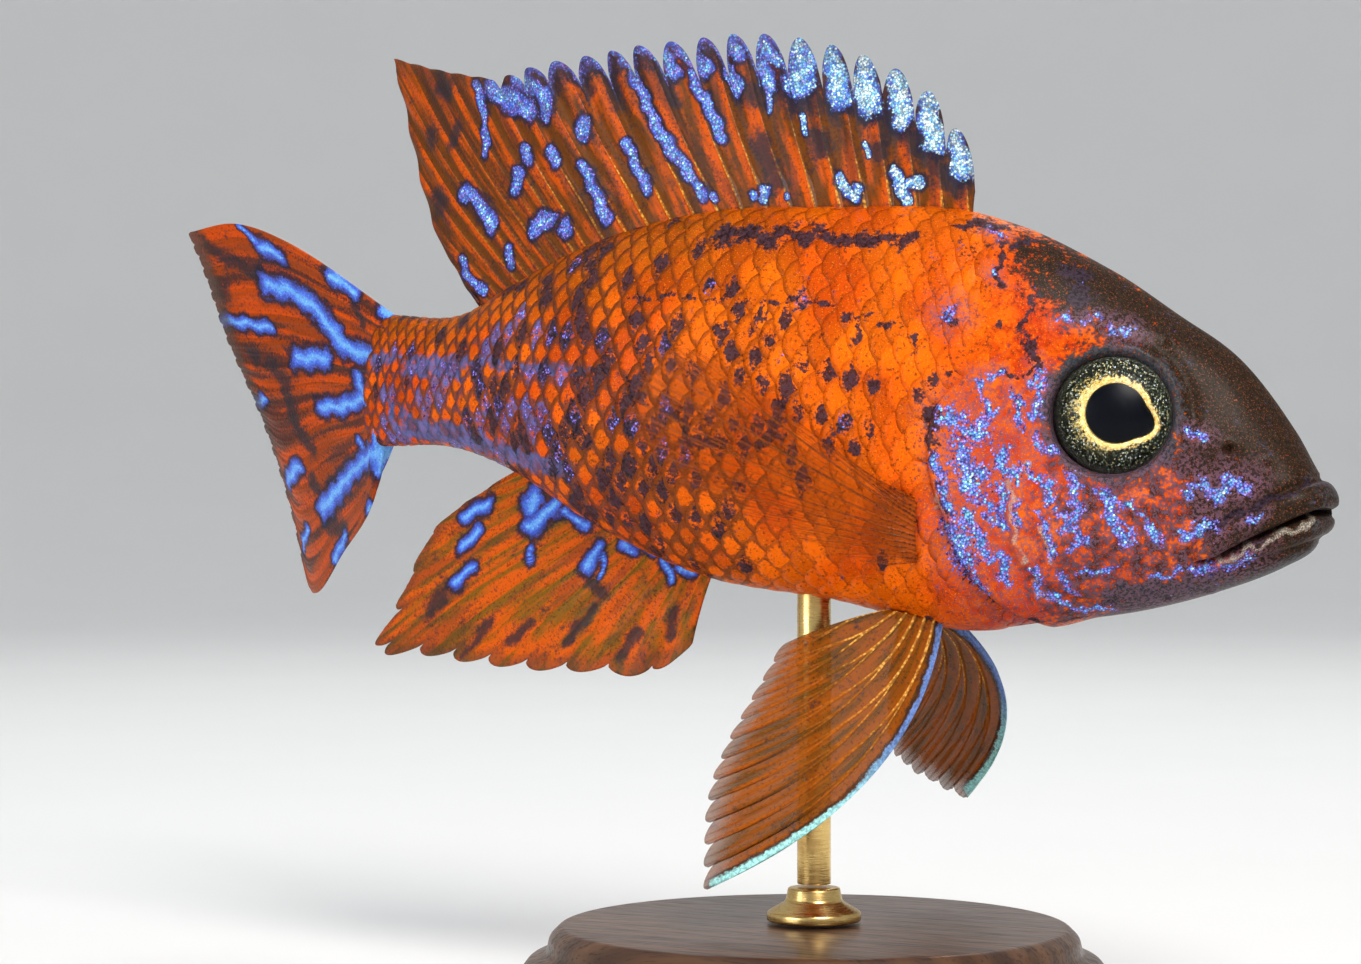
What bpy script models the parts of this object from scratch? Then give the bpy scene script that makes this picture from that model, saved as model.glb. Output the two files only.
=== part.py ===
"""A male orange-blotch peacock cichlid, swimming, as a life-size display model on a plain stand.

The fish is drawn straight first, in millimetres: s is the distance behind the tip of the snout,
so x = -s, y is to the fish's left and z is up from the body's axis. place() then bends it along
its swimming spine and turns it into metres. The head points along +X and the stand's foot is z = 0.
"""

import math

import bmesh
import bpy
import numpy as np

MM = 0.001
GAP = 0.3

# Pose
HEAD_TURN = math.radians(-12.0)
TAIL_TURN = math.radians(21.0)
BEND_START = 34.0
BEND_END = 100.0
HEAD_DOWN = math.radians(6.6)

# Body outline, as (distance behind the snout, value)
BACK = [(0.0, 0.5), (1.3, 1.5), (3.8, 5.0), (8.9, 10.5), (14.5, 13.8), (21.0, 17.3), (33.5, 21.4),
        (46.0, 20.8), (58.0, 19.3), (69.0, 15.8), (78.0, 11.3), (85.0, 7.7), (96.0, 6.8)]
BELLY = [(0.0, -2.3), (1.1, -4.4), (3.4, -6.3), (8.9, -9.2), (15.1, -11.6), (22.0, -13.4), (31.0, -15.4),
         (42.0, -14.2), (54.0, -13.7), (65.0, -10.8), (76.0, -6.6), (84.0, -5.2), (96.0, -6.2)]
HALF_WIDTH = [(0.0, 1.7), (0.8, 3.0), (2.5, 4.2), (6.0, 5.1), (12.0, 6.2), (20.0, 7.3), (30.0, 8.4),
              (42.0, 8.9), (54.0, 8.5), (66.0, 6.9), (78.0, 4.5), (88.0, 2.9), (96.0, 1.9)]
WIDEST_HEIGHT = [(0.0, -1.0), (6.0, -3.0), (14.0, -2.5), (24.0, -2.0), (40.0, 0.0), (60.0, 1.5), (96.0, 0.4)]
BACK_SHARPNESS = [(0.0, 0.85), (2.0, 1.15), (7.0, 1.2), (16.0, 1.05), (34.0, 1.1), (60.0, 1.15), (96.0, 0.9)]
BELLY_SHARPNESS = [(0.0, 0.8), (16.0, 0.9), (40.0, 0.8), (60.0, 0.95), (96.0, 0.9)]
BODY_END = 95.3
BODY_RINGS = 38
RING_POINTS = 28
RING_CROWDING = 1.3

# Side-view limits of the cutting prisms, well clear of the body
CUT_TOP = 26.0
CUT_BOTTOM = -20.0
CUT_FRONT = -4.0
CUT_BACK = 100.0
CUT_SIDE = 15.0

# Head
GILL_EDGE = [(33.4, 22.8), (32.3, 14.0), (31.3, 7.6), (33.8, 4.2), (34.2, 1.2), (33.5, -2.1), (32.1, -5.2),
             (30.7, -8.2), (28.8, -10.7), (26.6, -12.5), (22.5, -14.2), (19.5, -15.6)]
GILL_COVER = [(26.0, 8.0), (28.6, 8.6), (31.2, 7.2), (33.2, 4.0), (33.6, 1.2), (33.0, -2.0), (31.6, -5.0),
              (30.2, -7.9), (28.3, -10.3), (25.6, -11.8), (22.8, -11.9), (25.6, -8.8), (26.4, -3.6),
              (25.6, 3.0)]
GILL_COVER_DEPTH = 1.5
GILL_STEPS = 16
GILL_COVER_STEPS = 20
MOUTH_LINE = [(-1.0, -1.2), (1.1, -1.5), (2.7, -2.2), (5.9, -4.1), (9.3, -6.5), (12.5, -8.4), (15.6, -10.4)]
JAW_END = 17.0
JAW_HINGE = -11.6
MOUTH_STEPS = 8
LIP_TOP = [(-1.0, 1.3), (1.3, 1.3), (3.4, 0.5), (5.7, -1.0), (7.8, -2.3), (9.8, -4.1), (11.1, -5.8),
           (10.6, -7.0)]
LIP_PROUD = 0.35
EYE_CENTRE = (18.9, 5.0)
EYE_RADIUS = 5.3
EYE_DEPTH_RADIUS = 3.4
EYE_OUT = 1.25
EYE_GRID = (18, 10)
EYE_TOE_IN = math.radians(9.0)
EYE_UP = math.radians(6.0)
TRUNK_END = 79.0

# Fins
FIN_EDGE = 0.5
DORSAL_ROOT = 1.2
ANAL_ROOT = 1.1
TAIL_ROOT = 2.2
PELVIC_ROOT = 1.0
PECTORAL_ROOT = 0.7
DORSAL_BASE = (33.8, 70.0, 82.6)
DORSAL_SPINES = 16
DORSAL_TIPS = (34.3, 84.6)
DORSAL_CREST = [(34.3, 26.6), (38.8, 31.4), (45.3, 34.2), (54.7, 35.3), (64.9, 33.9), (77.9, 31.4),
                (84.6, 29.8)]
DORSAL_NOTCH = [(34.3, 3.4), (50.0, 4.2), (84.6, 1.8)]
DORSAL_SCALLOP_STEPS = 5
SCALLOP_LEAN = 0.7
SCALLOP_ROUND = 0.7
DORSAL_SOFT_STEPS = 6
DORSAL_REAR_STEPS = 8
DORSAL_SOFT_EDGE = [(84.6, 29.8), (94.0, 30.6), (101.6, 31.6)]
DORSAL_REAR_EDGE = [(101.6, 31.6), (90.3, 14.5), (83.8, 9.4)]
ANAL_BASE = (54.2, 75.6)
ANAL_EDGE = [(55.6, -20.3), (59.8, -23.2), (64.5, -23.6), (71.2, -24.4), (79.0, -24.9), (87.0, -25.2),
             (93.6, -25.7), (90.4, -20.0), (86.5, -13.2), (79.2, -8.0)]
ANAL_NOTCHES = 13
ANAL_NOTCH_STEPS = 3
ANAL_NOTCH_DEPTH = 0.06
ANAL_NOTCHED_SHARE = 0.7
TAIL_UPPER = [(95.3, 6.6), (110.6, 12.9), (117.2, 14.0), (123.0, 12.7)]
TAIL_REAR = [(123.0, 12.7), (122.4, 4.0), (119.4, -5.5), (120.8, -15.0), (121.9, -20.4)]
TAIL_LOWER = [(95.3, -6.6), (97.6, -11.6), (106.6, -17.6), (116.6, -23.0), (121.9, -20.4)]
TAIL_GRID = (20, 6)
TAIL_TWIST = (math.radians(22.0), math.radians(-14.0))
PELVIC_GRID = (13, 6)
PELVIC_BASE = [(32.2, -15.3, 2.4), (37.0, -14.7, 3.8)]
PELVIC_NEAR_LEAD = [(31.6, -28.6, 6.6), (48.3, -40.2, 11.0)]
PELVIC_NEAR_REAR = [(41.5, -15.6, 5.2), (45.2, -18.0, 6.6)]
PELVIC_NEAR_EDGE = [(48.3, -40.2, 11.0), (49.0, -30.5, 9.6), (45.2, -18.0, 6.6)]
PELVIC_FAR_LEAD = [(23.6, -22.0, 9.5), (32.2, -33.0, 20.0)]
PELVIC_FAR_REAR = [(38.5, -17.5, 8.5), (40.2, -21.5, 15.0)]
PELVIC_FAR_EDGE = [(32.2, -33.0, 20.0), (40.0, -29.5, 20.5), (40.2, -21.5, 15.0)]
PECTORAL_GRID = (14, 6)
PECTORAL_BASE = [(35.4, -3.8), (35.0, -9.4)]
PECTORAL_EDGE = [(40.0, -1.6), (49.0, 4.2), (55.8, 6.8), (58.9, 2.0), (57.2, -2.6), (52.0, -5.8),
                 (44.5, -8.2), (38.0, -10.0)]
PECTORAL_LIFT = (0.5, 0.9)
PECTORAL_RISE = 0.33
PECTORAL_SPREAD = (0.035, 0.16)

# Stand
ROD_AT = 46.0
SNOUT_HEIGHT = 45.0
BASE_RADIUS = 26.0
BASE_HEIGHT = 7.0
BASE_PROFILE = [(-0.5, 0.0), (0.0, 0.07), (0.0, 0.45), (-0.7, 0.58), (-2.2, 0.66), (-2.5, 0.86), (-3.5, 1.0)]
ROD_RADIUS = 1.5
COLLAR_RADIUS = 4.2
COLLAR_HEIGHT = 3.0
COLLAR_PROFILE = [(1.0, 0.0), (1.0, 0.27), (0.6, 0.6), (0.55, 1.0)]
SOCKET_DEPTH = 4.0
ROUND_SIDES = 40

# Colours and roughness
ORANGE = (0.75, 0.14, 0.01)
SLATE = (0.16, 0.09, 0.08)
LAVENDER = (0.42, 0.16, 0.16)
FIN_ORANGE = (0.6, 0.15, 0.03)
OLIVE = (0.3, 0.12, 0.03)
EYE_GOLD = (0.35, 0.25, 0.06)
WOOD = (0.07, 0.035, 0.02)
BRASS = (0.72, 0.55, 0.27)
SKIN_ROUGHNESS = 0.4
FIN_ROUGHNESS = 0.45
EYE_ROUGHNESS = 0.1
WOOD_ROUGHNESS = 0.35
BRASS_ROUGHNESS = 0.25
SHARP_ANGLE = math.radians(40.0)


def smooth(stations, at):
    """The value at a distance, on a smooth curve through the stations and level beyond their ends."""
    xs, ys = np.array(stations, float).T
    slope = np.diff(ys) / np.diff(xs)
    tangent = np.concatenate([[slope[0]], (slope[1:] + slope[:-1]) / 2, [slope[-1]]])
    at = np.clip(at, xs[0], xs[-1])
    i = np.clip(np.searchsorted(xs, at, side="right") - 1, 0, len(slope) - 1)
    step = xs[i + 1] - xs[i]
    t = (at - xs[i]) / step
    start = ys[i] * (1 + 2 * t) * (1 - t) ** 2 + tangent[i] * step * t * (1 - t) ** 2
    return start + ys[i + 1] * t * t * (3 - 2 * t) + tangent[i + 1] * step * t * t * (t - 1)


def along(points, fraction):
    """The point at a fraction of the length of a smooth curve through the points."""
    points = np.array(points, float)
    length = np.concatenate([[0.0], np.cumsum(np.linalg.norm(np.diff(points, axis=0), axis=1))])
    length /= length[-1]
    return np.array([smooth(list(zip(length, axis)), fraction) for axis in points.T])


def spine_table():
    """Where the bent spine runs: the distances, both plan coordinates and the heading there."""
    s = np.linspace(0.0, 160.0, 1601)
    t = np.clip((s - BEND_START) / (BEND_END - BEND_START), 0.0, 1.0)
    heading = HEAD_TURN + (TAIL_TURN - HEAD_TURN) * t * t * (3 - 2 * t)
    step = s[1]
    x = -np.concatenate([[0.0], np.cumsum((np.cos(heading[1:]) + np.cos(heading[:-1])) / 2 * step)])
    y = np.concatenate([[0.0], np.cumsum((np.sin(heading[1:]) + np.sin(heading[:-1])) / 2 * step)])
    return s, x, y, heading


SPINE = spine_table()


def bend(point):
    """A point of the straight fish, on the bent one, still in millimetres and level."""
    s, x, y, heading = SPINE
    behind = -point[0]
    turn = np.interp(behind, s, heading)
    across = point[1]
    bent_x = np.interp(behind, s, x) + math.sin(turn) * across
    bent_y = np.interp(behind, s, y) + math.cos(turn) * across
    return np.array([bent_x, bent_y, point[2]])


def section(s, inset=0.0):
    """Half the body's cross-section at s: its top, bottom, half width, widest height and sharpness."""
    half_width = max(smooth(HALF_WIDTH, s) - inset, 0.3)
    return (smooth(BACK, s), smooth(BELLY, s), half_width, smooth(WIDEST_HEIGHT, s),
            smooth(BACK_SHARPNESS, s), smooth(BELLY_SHARPNESS, s))


def ring(s, inset=0.0):
    top, bottom, half_width, middle, above, below = section(s, inset)
    points = []
    for k in range(RING_POINTS):
        angle = 2 * math.pi * k / RING_POINTS
        rise = math.sin(angle)
        sharpness = above if rise > 0 else below
        across = math.copysign(abs(math.cos(angle)) ** sharpness, math.cos(angle)) * half_width
        height = middle + ((top - middle) if rise > 0 else (middle - bottom)) * rise
        points.append((-s, across, height))
    return points


def flank(s, z):
    """The body's half width at a height on its side."""
    top, bottom, half_width, middle, above, below = section(s)
    reach = (z - middle) / ((top - middle) if z > middle else (middle - bottom))
    sharpness = above if z > middle else below
    return half_width * max(1 - reach * reach, 0.0) ** (sharpness / 2)


def solid(name, points, faces):
    """A closed mesh object whose faces point outwards."""
    mesh = bpy.data.meshes.new(name)
    mesh.from_pydata([tuple(map(float, point)) for point in points], [], faces)
    work = bmesh.new()
    work.from_mesh(mesh)
    bmesh.ops.recalc_face_normals(work, faces=work.faces)
    work.to_mesh(mesh)
    work.free()
    return bpy.data.objects.new(name, mesh)


def loft(name, rings):
    count = len(rings[0])
    points = [point for one in rings for point in one]
    faces = [tuple(range(count)), tuple(range(len(points) - count, len(points)))]
    for i in range(len(rings) - 1):
        for k in range(count):
            a = i * count + k
            b = i * count + (k + 1) % count
            faces.append((a, b, b + count, a + count))
    return solid(name, points, faces)


def body_loft(name, inset=0.0):
    stations = [BODY_END * (i / BODY_RINGS) ** RING_CROWDING for i in range(BODY_RINGS + 1)]
    return loft(name, [ring(s, inset) for s in stations])


def prism(name, outline, low, high):
    """The side-view outline of (s, z) points, drawn out from y = low to y = high."""
    return loft(name, [[(-s, y, z) for s, z in outline] for y in (low, high)])


def side_prism(name, outline, extra=0.0):
    """A cutter right through the body, a little wider where two cutters would share their sides."""
    return prism(name, outline, -CUT_SIDE - extra, CUT_SIDE + extra)


def grown(outline, amount):
    """A closed side-view outline moved outwards by an amount."""
    points = np.array(outline, float)
    ahead = np.roll(points, -1, axis=0) - np.roll(points, 1, axis=0)
    normal = np.stack([ahead[:, 1], -ahead[:, 0]], axis=1)
    normal /= np.linalg.norm(normal, axis=1)[:, None]
    x, y = points.T
    clockwise = np.sum(x * np.roll(y, -1) - np.roll(x, -1) * y) < 0
    return points + normal * (-amount if clockwise else amount)


def curve_points(stations, count):
    return [tuple(along(stations, i / count)) for i in range(count + 1)]


def cut(name, base, *steps):
    """A copy of a straight solid after Boolean steps, each a pair of operation and cutter."""
    scene = bpy.context.scene.collection
    work = bpy.data.objects.new("uncut_" + name, base.data.copy())
    scene.objects.link(work)
    for operation, cutter in steps:
        if cutter.name not in scene.objects:
            scene.objects.link(cutter)
        modifier = work.modifiers.new(operation.title(), "BOOLEAN")
        modifier.operation = operation
        modifier.object = cutter
    graph = bpy.context.evaluated_depsgraph_get()
    result = bpy.data.objects.new(name, bpy.data.meshes.new_from_object(work.evaluated_get(graph)))
    for _, cutter in steps:
        if cutter.name in scene.objects:
            scene.objects.unlink(cutter)
    bpy.data.objects.remove(work)
    return result


def plate(name, grid, root_thickness, edge_thickness, across=None):
    """A thin closed fin on a grid of middle points, rows from root to edge, thinning to the edge.

    Its thickness lies along its own normal, or along across where the sheet bends too sharply for that.
    """
    grid = np.array(grid, float)
    rows, columns = grid.shape[:2]
    if across is None:
        normal = np.cross(np.gradient(grid, axis=0), np.gradient(grid, axis=1))
        normal /= np.linalg.norm(normal, axis=2)[:, :, None]
    else:
        normal = np.array(across, float)
    share = np.linspace(0.0, 1.0, rows)[:, None, None] ** 0.5
    half = (root_thickness + (edge_thickness - root_thickness) * share) / 2
    points = np.concatenate([(grid + normal * half).reshape(-1, 3), (grid - normal * half).reshape(-1, 3)])
    count = rows * columns
    faces = []
    for i in range(rows - 1):
        for j in range(columns - 1):
            a = i * columns + j
            corners = (a, a + 1, a + columns + 1, a + columns)
            faces.append(corners)
            faces.append(tuple(corner + count for corner in corners))
    rim = [(0, j) for j in range(columns)] + [(i, columns - 1) for i in range(1, rows)]
    rim += [(rows - 1, j) for j in range(columns - 2, -1, -1)] + [(i, 0) for i in range(rows - 2, 0, -1)]
    rim = [i * columns + j for i, j in rim]
    for a, b in zip(rim, rim[1:] + rim[:1]):
        faces.append((a, b, b + count, a + count))
    return solid(name, points, faces)


def fan_rows(roots, tips, rows):
    return [[root + (tip - root) * i / (rows - 1) for root, tip in zip(roots, tips)] for i in range(rows)]


def middle_point(s, z):
    return np.array([-s, 0.0, z])


def dorsal_columns():
    """Roots and tips of the dorsal fin: a scallop behind each spine, then the long soft rays."""
    base_start, base_spiny, base_end = DORSAL_BASE
    roots, tips = [], []
    steps = DORSAL_SCALLOP_STEPS
    for i in range(DORSAL_SPINES * steps):
        share = i / (DORSAL_SPINES * steps)
        root_s = base_start + (base_spiny - base_start) * share
        tip_s = DORSAL_TIPS[0] + (DORSAL_TIPS[1] - DORSAL_TIPS[0]) * share
        root = middle_point(root_s, smooth(BACK, root_s) + GAP)
        tip = middle_point(tip_s, smooth(DORSAL_CREST, tip_s))
        arch = math.sin(math.pi * ((i % steps) / steps) ** SCALLOP_LEAN) ** SCALLOP_ROUND
        length = np.linalg.norm(tip - root)
        tips.append(root + (tip - root) * (1 - smooth(DORSAL_NOTCH, tip_s) * (1 - arch) / length))
        roots.append(root)
    soft = curve_points(DORSAL_SOFT_EDGE, DORSAL_SOFT_STEPS)[:-1]
    soft += curve_points(DORSAL_REAR_EDGE, DORSAL_REAR_STEPS)
    for i, (tip_s, tip_z) in enumerate(soft):
        root_s = base_spiny + (base_end - base_spiny) * i / (len(soft) - 1)
        roots.append(middle_point(root_s, smooth(BACK, root_s) + GAP))
        tips.append(middle_point(tip_s, tip_z))
    return roots, tips


def dorsal_fin():
    roots, tips = dorsal_columns()
    return plate("dorsal_fin", fan_rows(roots, tips, 3), DORSAL_ROOT, FIN_EDGE)


def anal_fin():
    roots, tips = [], []
    count = ANAL_NOTCHES * ANAL_NOTCH_STEPS
    for i in range(count + 1):
        root_s = ANAL_BASE[0] + (ANAL_BASE[1] - ANAL_BASE[0]) * i / count
        root = middle_point(root_s, smooth(BELLY, root_s) - GAP)
        tip = middle_point(*along(ANAL_EDGE, i / count))
        notched = i % ANAL_NOTCH_STEPS == 0 and i < count * ANAL_NOTCHED_SHARE
        roots.append(root)
        tips.append(tip + (root - tip) * ANAL_NOTCH_DEPTH if notched else tip)
    return plate("anal_fin", fan_rows(roots, tips, 3), ANAL_ROOT, FIN_EDGE)


def tail_fin():
    """The tail fin, fanned from the stalk and twisted so that its lower lobe swings away."""
    columns, rows = TAIL_GRID
    low, high = np.array(TAIL_LOWER[0]), np.array(TAIL_UPPER[0])
    grid = []
    for i in range(rows):
        reach = i / (rows - 1)
        upper = along(TAIL_UPPER, reach)
        lower = along(TAIL_LOWER, reach)
        line = []
        for j in range(columns + 1):
            share = j / columns
            straight = lower + (upper - lower) * share
            edge = along(TAIL_REAR[::-1], share)
            chord = np.array(TAIL_LOWER[-1]) + (np.array(TAIL_UPPER[-1]) - np.array(TAIL_LOWER[-1])) * share
            root = low + (high - low) * share
            s, z = straight + (edge - chord) * reach ** 2
            s = max(s, root[0]) + GAP
            twist = TAIL_TWIST[0] + (TAIL_TWIST[1] - TAIL_TWIST[0]) * share
            line.append((-s, (s - BODY_END - GAP) * math.tan(twist), z))
        grid.append(line)
    return plate("tail_fin", grid, TAIL_ROOT, FIN_EDGE)


def fan(base, lead, rear, edge):
    """A fan of curved rays from a short base: each ray is a quadratic curve, turning evenly."""
    columns, rows = PELVIC_GRID
    base, lead, rear = np.array(base, float), np.array(lead, float), np.array(rear, float)
    grid = []
    for i in range(rows):
        t = i / (rows - 1)
        line = []
        for j in range(columns + 1):
            share = j / columns
            root = base[0] + (base[1] - base[0]) * share
            elbow = lead[0] + (rear[0] - lead[0]) * share
            tip = along(edge, share)
            line.append(root * (1 - t) ** 2 + elbow * 2 * t * (1 - t) + tip * t * t)
        grid.append(line)
    return grid


def pelvic_fin(name, lead, rear, edge, side):
    grid = fan(PELVIC_BASE, lead, rear, edge)
    grid = [[(-s, side * y, z) for s, z, y in line] for line in grid]
    return plate(name, grid, PELVIC_ROOT, FIN_EDGE)


def pectoral_fin(name, side, spread):
    """A fan held back along the flank, standing off it by a little more towards its edge."""
    grid = []
    columns, rows = PECTORAL_GRID
    base = np.array(PECTORAL_BASE)
    for i in range(rows):
        t = i / (rows - 1)
        line = []
        for j in range(columns + 1):
            share = j / columns
            root = base[0] + (base[1] - base[0]) * share
            s, z = root + (along(PECTORAL_EDGE, share) - root) * t
            clear = PECTORAL_LIFT[0] + PECTORAL_LIFT[1] * min(t / PECTORAL_RISE, 1.0)
            lift = clear + spread * (s - base[1][0])
            line.append((-s, side * (flank(s, z) + lift), z))
        grid.append(line)
    return plate(name, grid, PECTORAL_ROOT, FIN_EDGE, across=(0.0, 1.0, 0.0))


def eyeball(name, side, extra=0.0):
    """A flattened ball, toed in to follow the cheek, standing a little proud of it."""
    s, z = EYE_CENTRE
    work = bmesh.new()
    bmesh.ops.create_uvsphere(work, u_segments=EYE_GRID[0], v_segments=EYE_GRID[1], radius=1.0)
    radius = EYE_RADIUS + extra
    depth = EYE_DEPTH_RADIUS + extra
    centre = flank(s, z) + EYE_OUT - EYE_DEPTH_RADIUS
    for vertex in work.verts:
        across, up, out = vertex.co.x * radius, vertex.co.y * radius, vertex.co.z * depth
        forward = across * math.cos(EYE_TOE_IN) + out * math.sin(EYE_TOE_IN)
        out = out * math.cos(EYE_TOE_IN) - across * math.sin(EYE_TOE_IN)
        height = up * math.cos(EYE_UP) + out * math.sin(EYE_UP)
        out = out * math.cos(EYE_UP) - up * math.sin(EYE_UP)
        vertex.co = (-s + forward, side * (centre + out), z + height)
    work.normal_update()
    bmesh.ops.recalc_face_normals(work, faces=work.faces)
    mesh = bpy.data.meshes.new(name)
    work.to_mesh(mesh)
    work.free()
    return bpy.data.objects.new(name, mesh)


def head_parts():
    """Head, lower jaw and both gill covers, parted by thin cuts from the front of the body."""
    body = body_loft("body")
    edge = curve_points(GILL_EDGE, GILL_STEPS)
    head_outline = [(s - GAP / 2, z) for s, z in edge] + [(CUT_FRONT, CUT_BOTTOM), (CUT_FRONT, CUT_TOP)]
    block = cut("block", body, ("INTERSECT", side_prism("head_zone", head_outline)))
    line = curve_points(MOUTH_LINE, MOUTH_STEPS)
    jaw = [(JAW_END, CUT_BOTTOM), (CUT_FRONT, CUT_BOTTOM), (CUT_FRONT, MOUTH_LINE[0][1])] + line
    jaw.append((JAW_END, JAW_HINGE))
    lower_jaw = cut("lower_jaw", block, ("INTERSECT", side_prism("jaw_zone", grown(jaw, -GAP / 2))))
    outline = curve_points(GILL_COVER + GILL_COVER[:1], GILL_COVER_STEPS)[:-1]
    core_plug = body_loft("core_plug", GILL_COVER_DEPTH + GAP)
    core_cover = body_loft("core_cover", GILL_COVER_DEPTH)
    lip = LIP_TOP + [point for point in line[::-1] if point[0] < LIP_TOP[-1][0] - 0.5]
    upper_jaw = cut("upper_jaw", body_loft("lips", -LIP_PROUD),
                    ("INTERSECT", side_prism("lip_zone", grown(lip, -GAP / 2))))
    parts = [lower_jaw, upper_jaw]
    steps = [("DIFFERENCE", side_prism("jaw_room", grown(jaw, GAP / 2))),
             ("DIFFERENCE", side_prism("lip_room", grown(lip, GAP / 2), 1.0))]
    for name, side in (("right", -1), ("left", 1)):
        reach = sorted((side * GAP, side * CUT_SIDE))
        plug = cut("plug_" + name, prism("room_" + name, grown(outline, GAP / 2), *reach),
                   ("DIFFERENCE", core_plug))
        cover = cut("gill_cover_" + name, block,
                    ("INTERSECT", prism("plate_" + name, grown(outline, -GAP / 2), *reach)),
                    ("DIFFERENCE", core_cover))
        parts.append(cover)
        steps.append(("DIFFERENCE", plug))
        steps.append(("DIFFERENCE", eyeball("socket_" + name, side, GAP)))
    parts.append(cut("head", block, *steps))
    return parts


def trunk_parts():
    """Trunk and tail stalk, the body behind the gill edge in two lengths."""
    body = body_loft("body")
    behind = [(s + GAP / 2, z) for s, z in curve_points(GILL_EDGE, GILL_STEPS)]
    end = TRUNK_END - GAP / 2
    start = TRUNK_END + GAP / 2
    trunk_outline = behind + [(end, CUT_BOTTOM), (end, CUT_TOP)]
    stalk_outline = [(start, CUT_BOTTOM), (CUT_BACK, CUT_BOTTOM), (CUT_BACK, CUT_TOP), (start, CUT_TOP)]
    trunk = cut("trunk", body, ("INTERSECT", side_prism("trunk_zone", trunk_outline)))
    stalk = cut("tail_stalk", body, ("INTERSECT", side_prism("stalk_zone", stalk_outline)))
    return [trunk, stalk]


def material(name, colour, roughness, metallic=0.0):
    made = bpy.data.materials.new(name)
    made.use_nodes = True
    shader = made.node_tree.nodes["Principled BSDF"]
    shader.inputs["Base Color"].default_value = (*colour, 1.0)
    shader.inputs["Roughness"].default_value = roughness
    shader.inputs["Metallic"].default_value = metallic
    return made


def add_flesh(straight, parent, colour, roughness):
    """Bends a straight solid, in triangles, and hangs it on the pose empty."""
    work = bmesh.new()
    work.from_mesh(straight.data)
    bmesh.ops.triangulate(work, faces=work.faces)
    for vertex in work.verts:
        vertex.co = bend(vertex.co) * MM
    name = straight.name
    mesh = bpy.data.meshes.new(name)
    work.to_mesh(mesh)
    work.free()
    bpy.data.objects.remove(straight)
    made = bpy.data.objects.new(name, mesh)
    made.data.materials.append(material(name + "_finish", colour, roughness))
    bpy.context.scene.collection.objects.link(made)
    made.parent = parent
    mesh.shade_smooth()
    mesh.set_sharp_from_angle(angle=SHARP_ANGLE)
    return made


def pose_empty():
    """The empty that holds the fish nose-down over the stand, with the rod under its middle."""
    empty = bpy.data.objects.new("swimming_fish", None)
    under = bend((-ROD_AT, 0.0, 0.0))
    empty.rotation_euler = (0.0, HEAD_DOWN, 0.0)
    x = under[0] * math.cos(HEAD_DOWN)
    empty.location = (-x * MM, -under[1] * MM, SNOUT_HEIGHT * MM)
    bpy.context.scene.collection.objects.link(empty)
    return empty


def turned(name, profile, colour, roughness, metallic=0.0):
    """A turned piece about the vertical axis through the origin, from (radius, height) points."""
    rings = []
    for radius, height in profile:
        circle = [2 * math.pi * k / ROUND_SIDES for k in range(ROUND_SIDES)]
        rings.append([(radius * MM * math.cos(a), radius * MM * math.sin(a), height * MM) for a in circle])
    made = loft(name, rings)
    made.data.materials.append(material(name + "_finish", colour, roughness, metallic))
    made.data.shade_smooth()
    made.data.set_sharp_from_angle(angle=SHARP_ANGLE)
    bpy.context.scene.collection.objects.link(made)
    return made


def belly_height():
    """The height of the belly over the rod, in millimetres above the floor."""
    under = bend((-ROD_AT, 0.0, smooth(BELLY, ROD_AT)))
    return SNOUT_HEIGHT - under[0] * math.sin(HEAD_DOWN) + under[2] * math.cos(HEAD_DOWN)


def stand(trunk):
    """A round moulded base, a collar and one rod that ends in a socket in the belly."""
    base = [(BASE_RADIUS + step, BASE_HEIGHT * share) for step, share in BASE_PROFILE]
    turned("stand_base", base, WOOD, WOOD_ROUGHNESS)
    collar_foot = BASE_HEIGHT + GAP
    collar = [(COLLAR_RADIUS * wide, collar_foot + COLLAR_HEIGHT * share) for wide, share in COLLAR_PROFILE]
    turned("stand_collar", collar, BRASS, BRASS_ROUGHNESS, 1.0)
    rod_foot = collar_foot + COLLAR_HEIGHT + GAP
    rod_top = belly_height() + SOCKET_DEPTH
    turned("stand_rod", [(ROD_RADIUS, rod_foot), (ROD_RADIUS, rod_top)], BRASS, BRASS_ROUGHNESS, 1.0)
    bore = [(ROD_RADIUS + GAP, rod_foot), (ROD_RADIUS + GAP, rod_top + GAP)]
    socket = turned("rod_socket", bore, BRASS, BRASS_ROUGHNESS)
    socket.hide_render = True
    socket.display_type = "WIRE"
    hole = trunk.modifiers.new("Rod socket", "BOOLEAN")
    hole.operation = "DIFFERENCE"
    hole.object = socket


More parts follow.
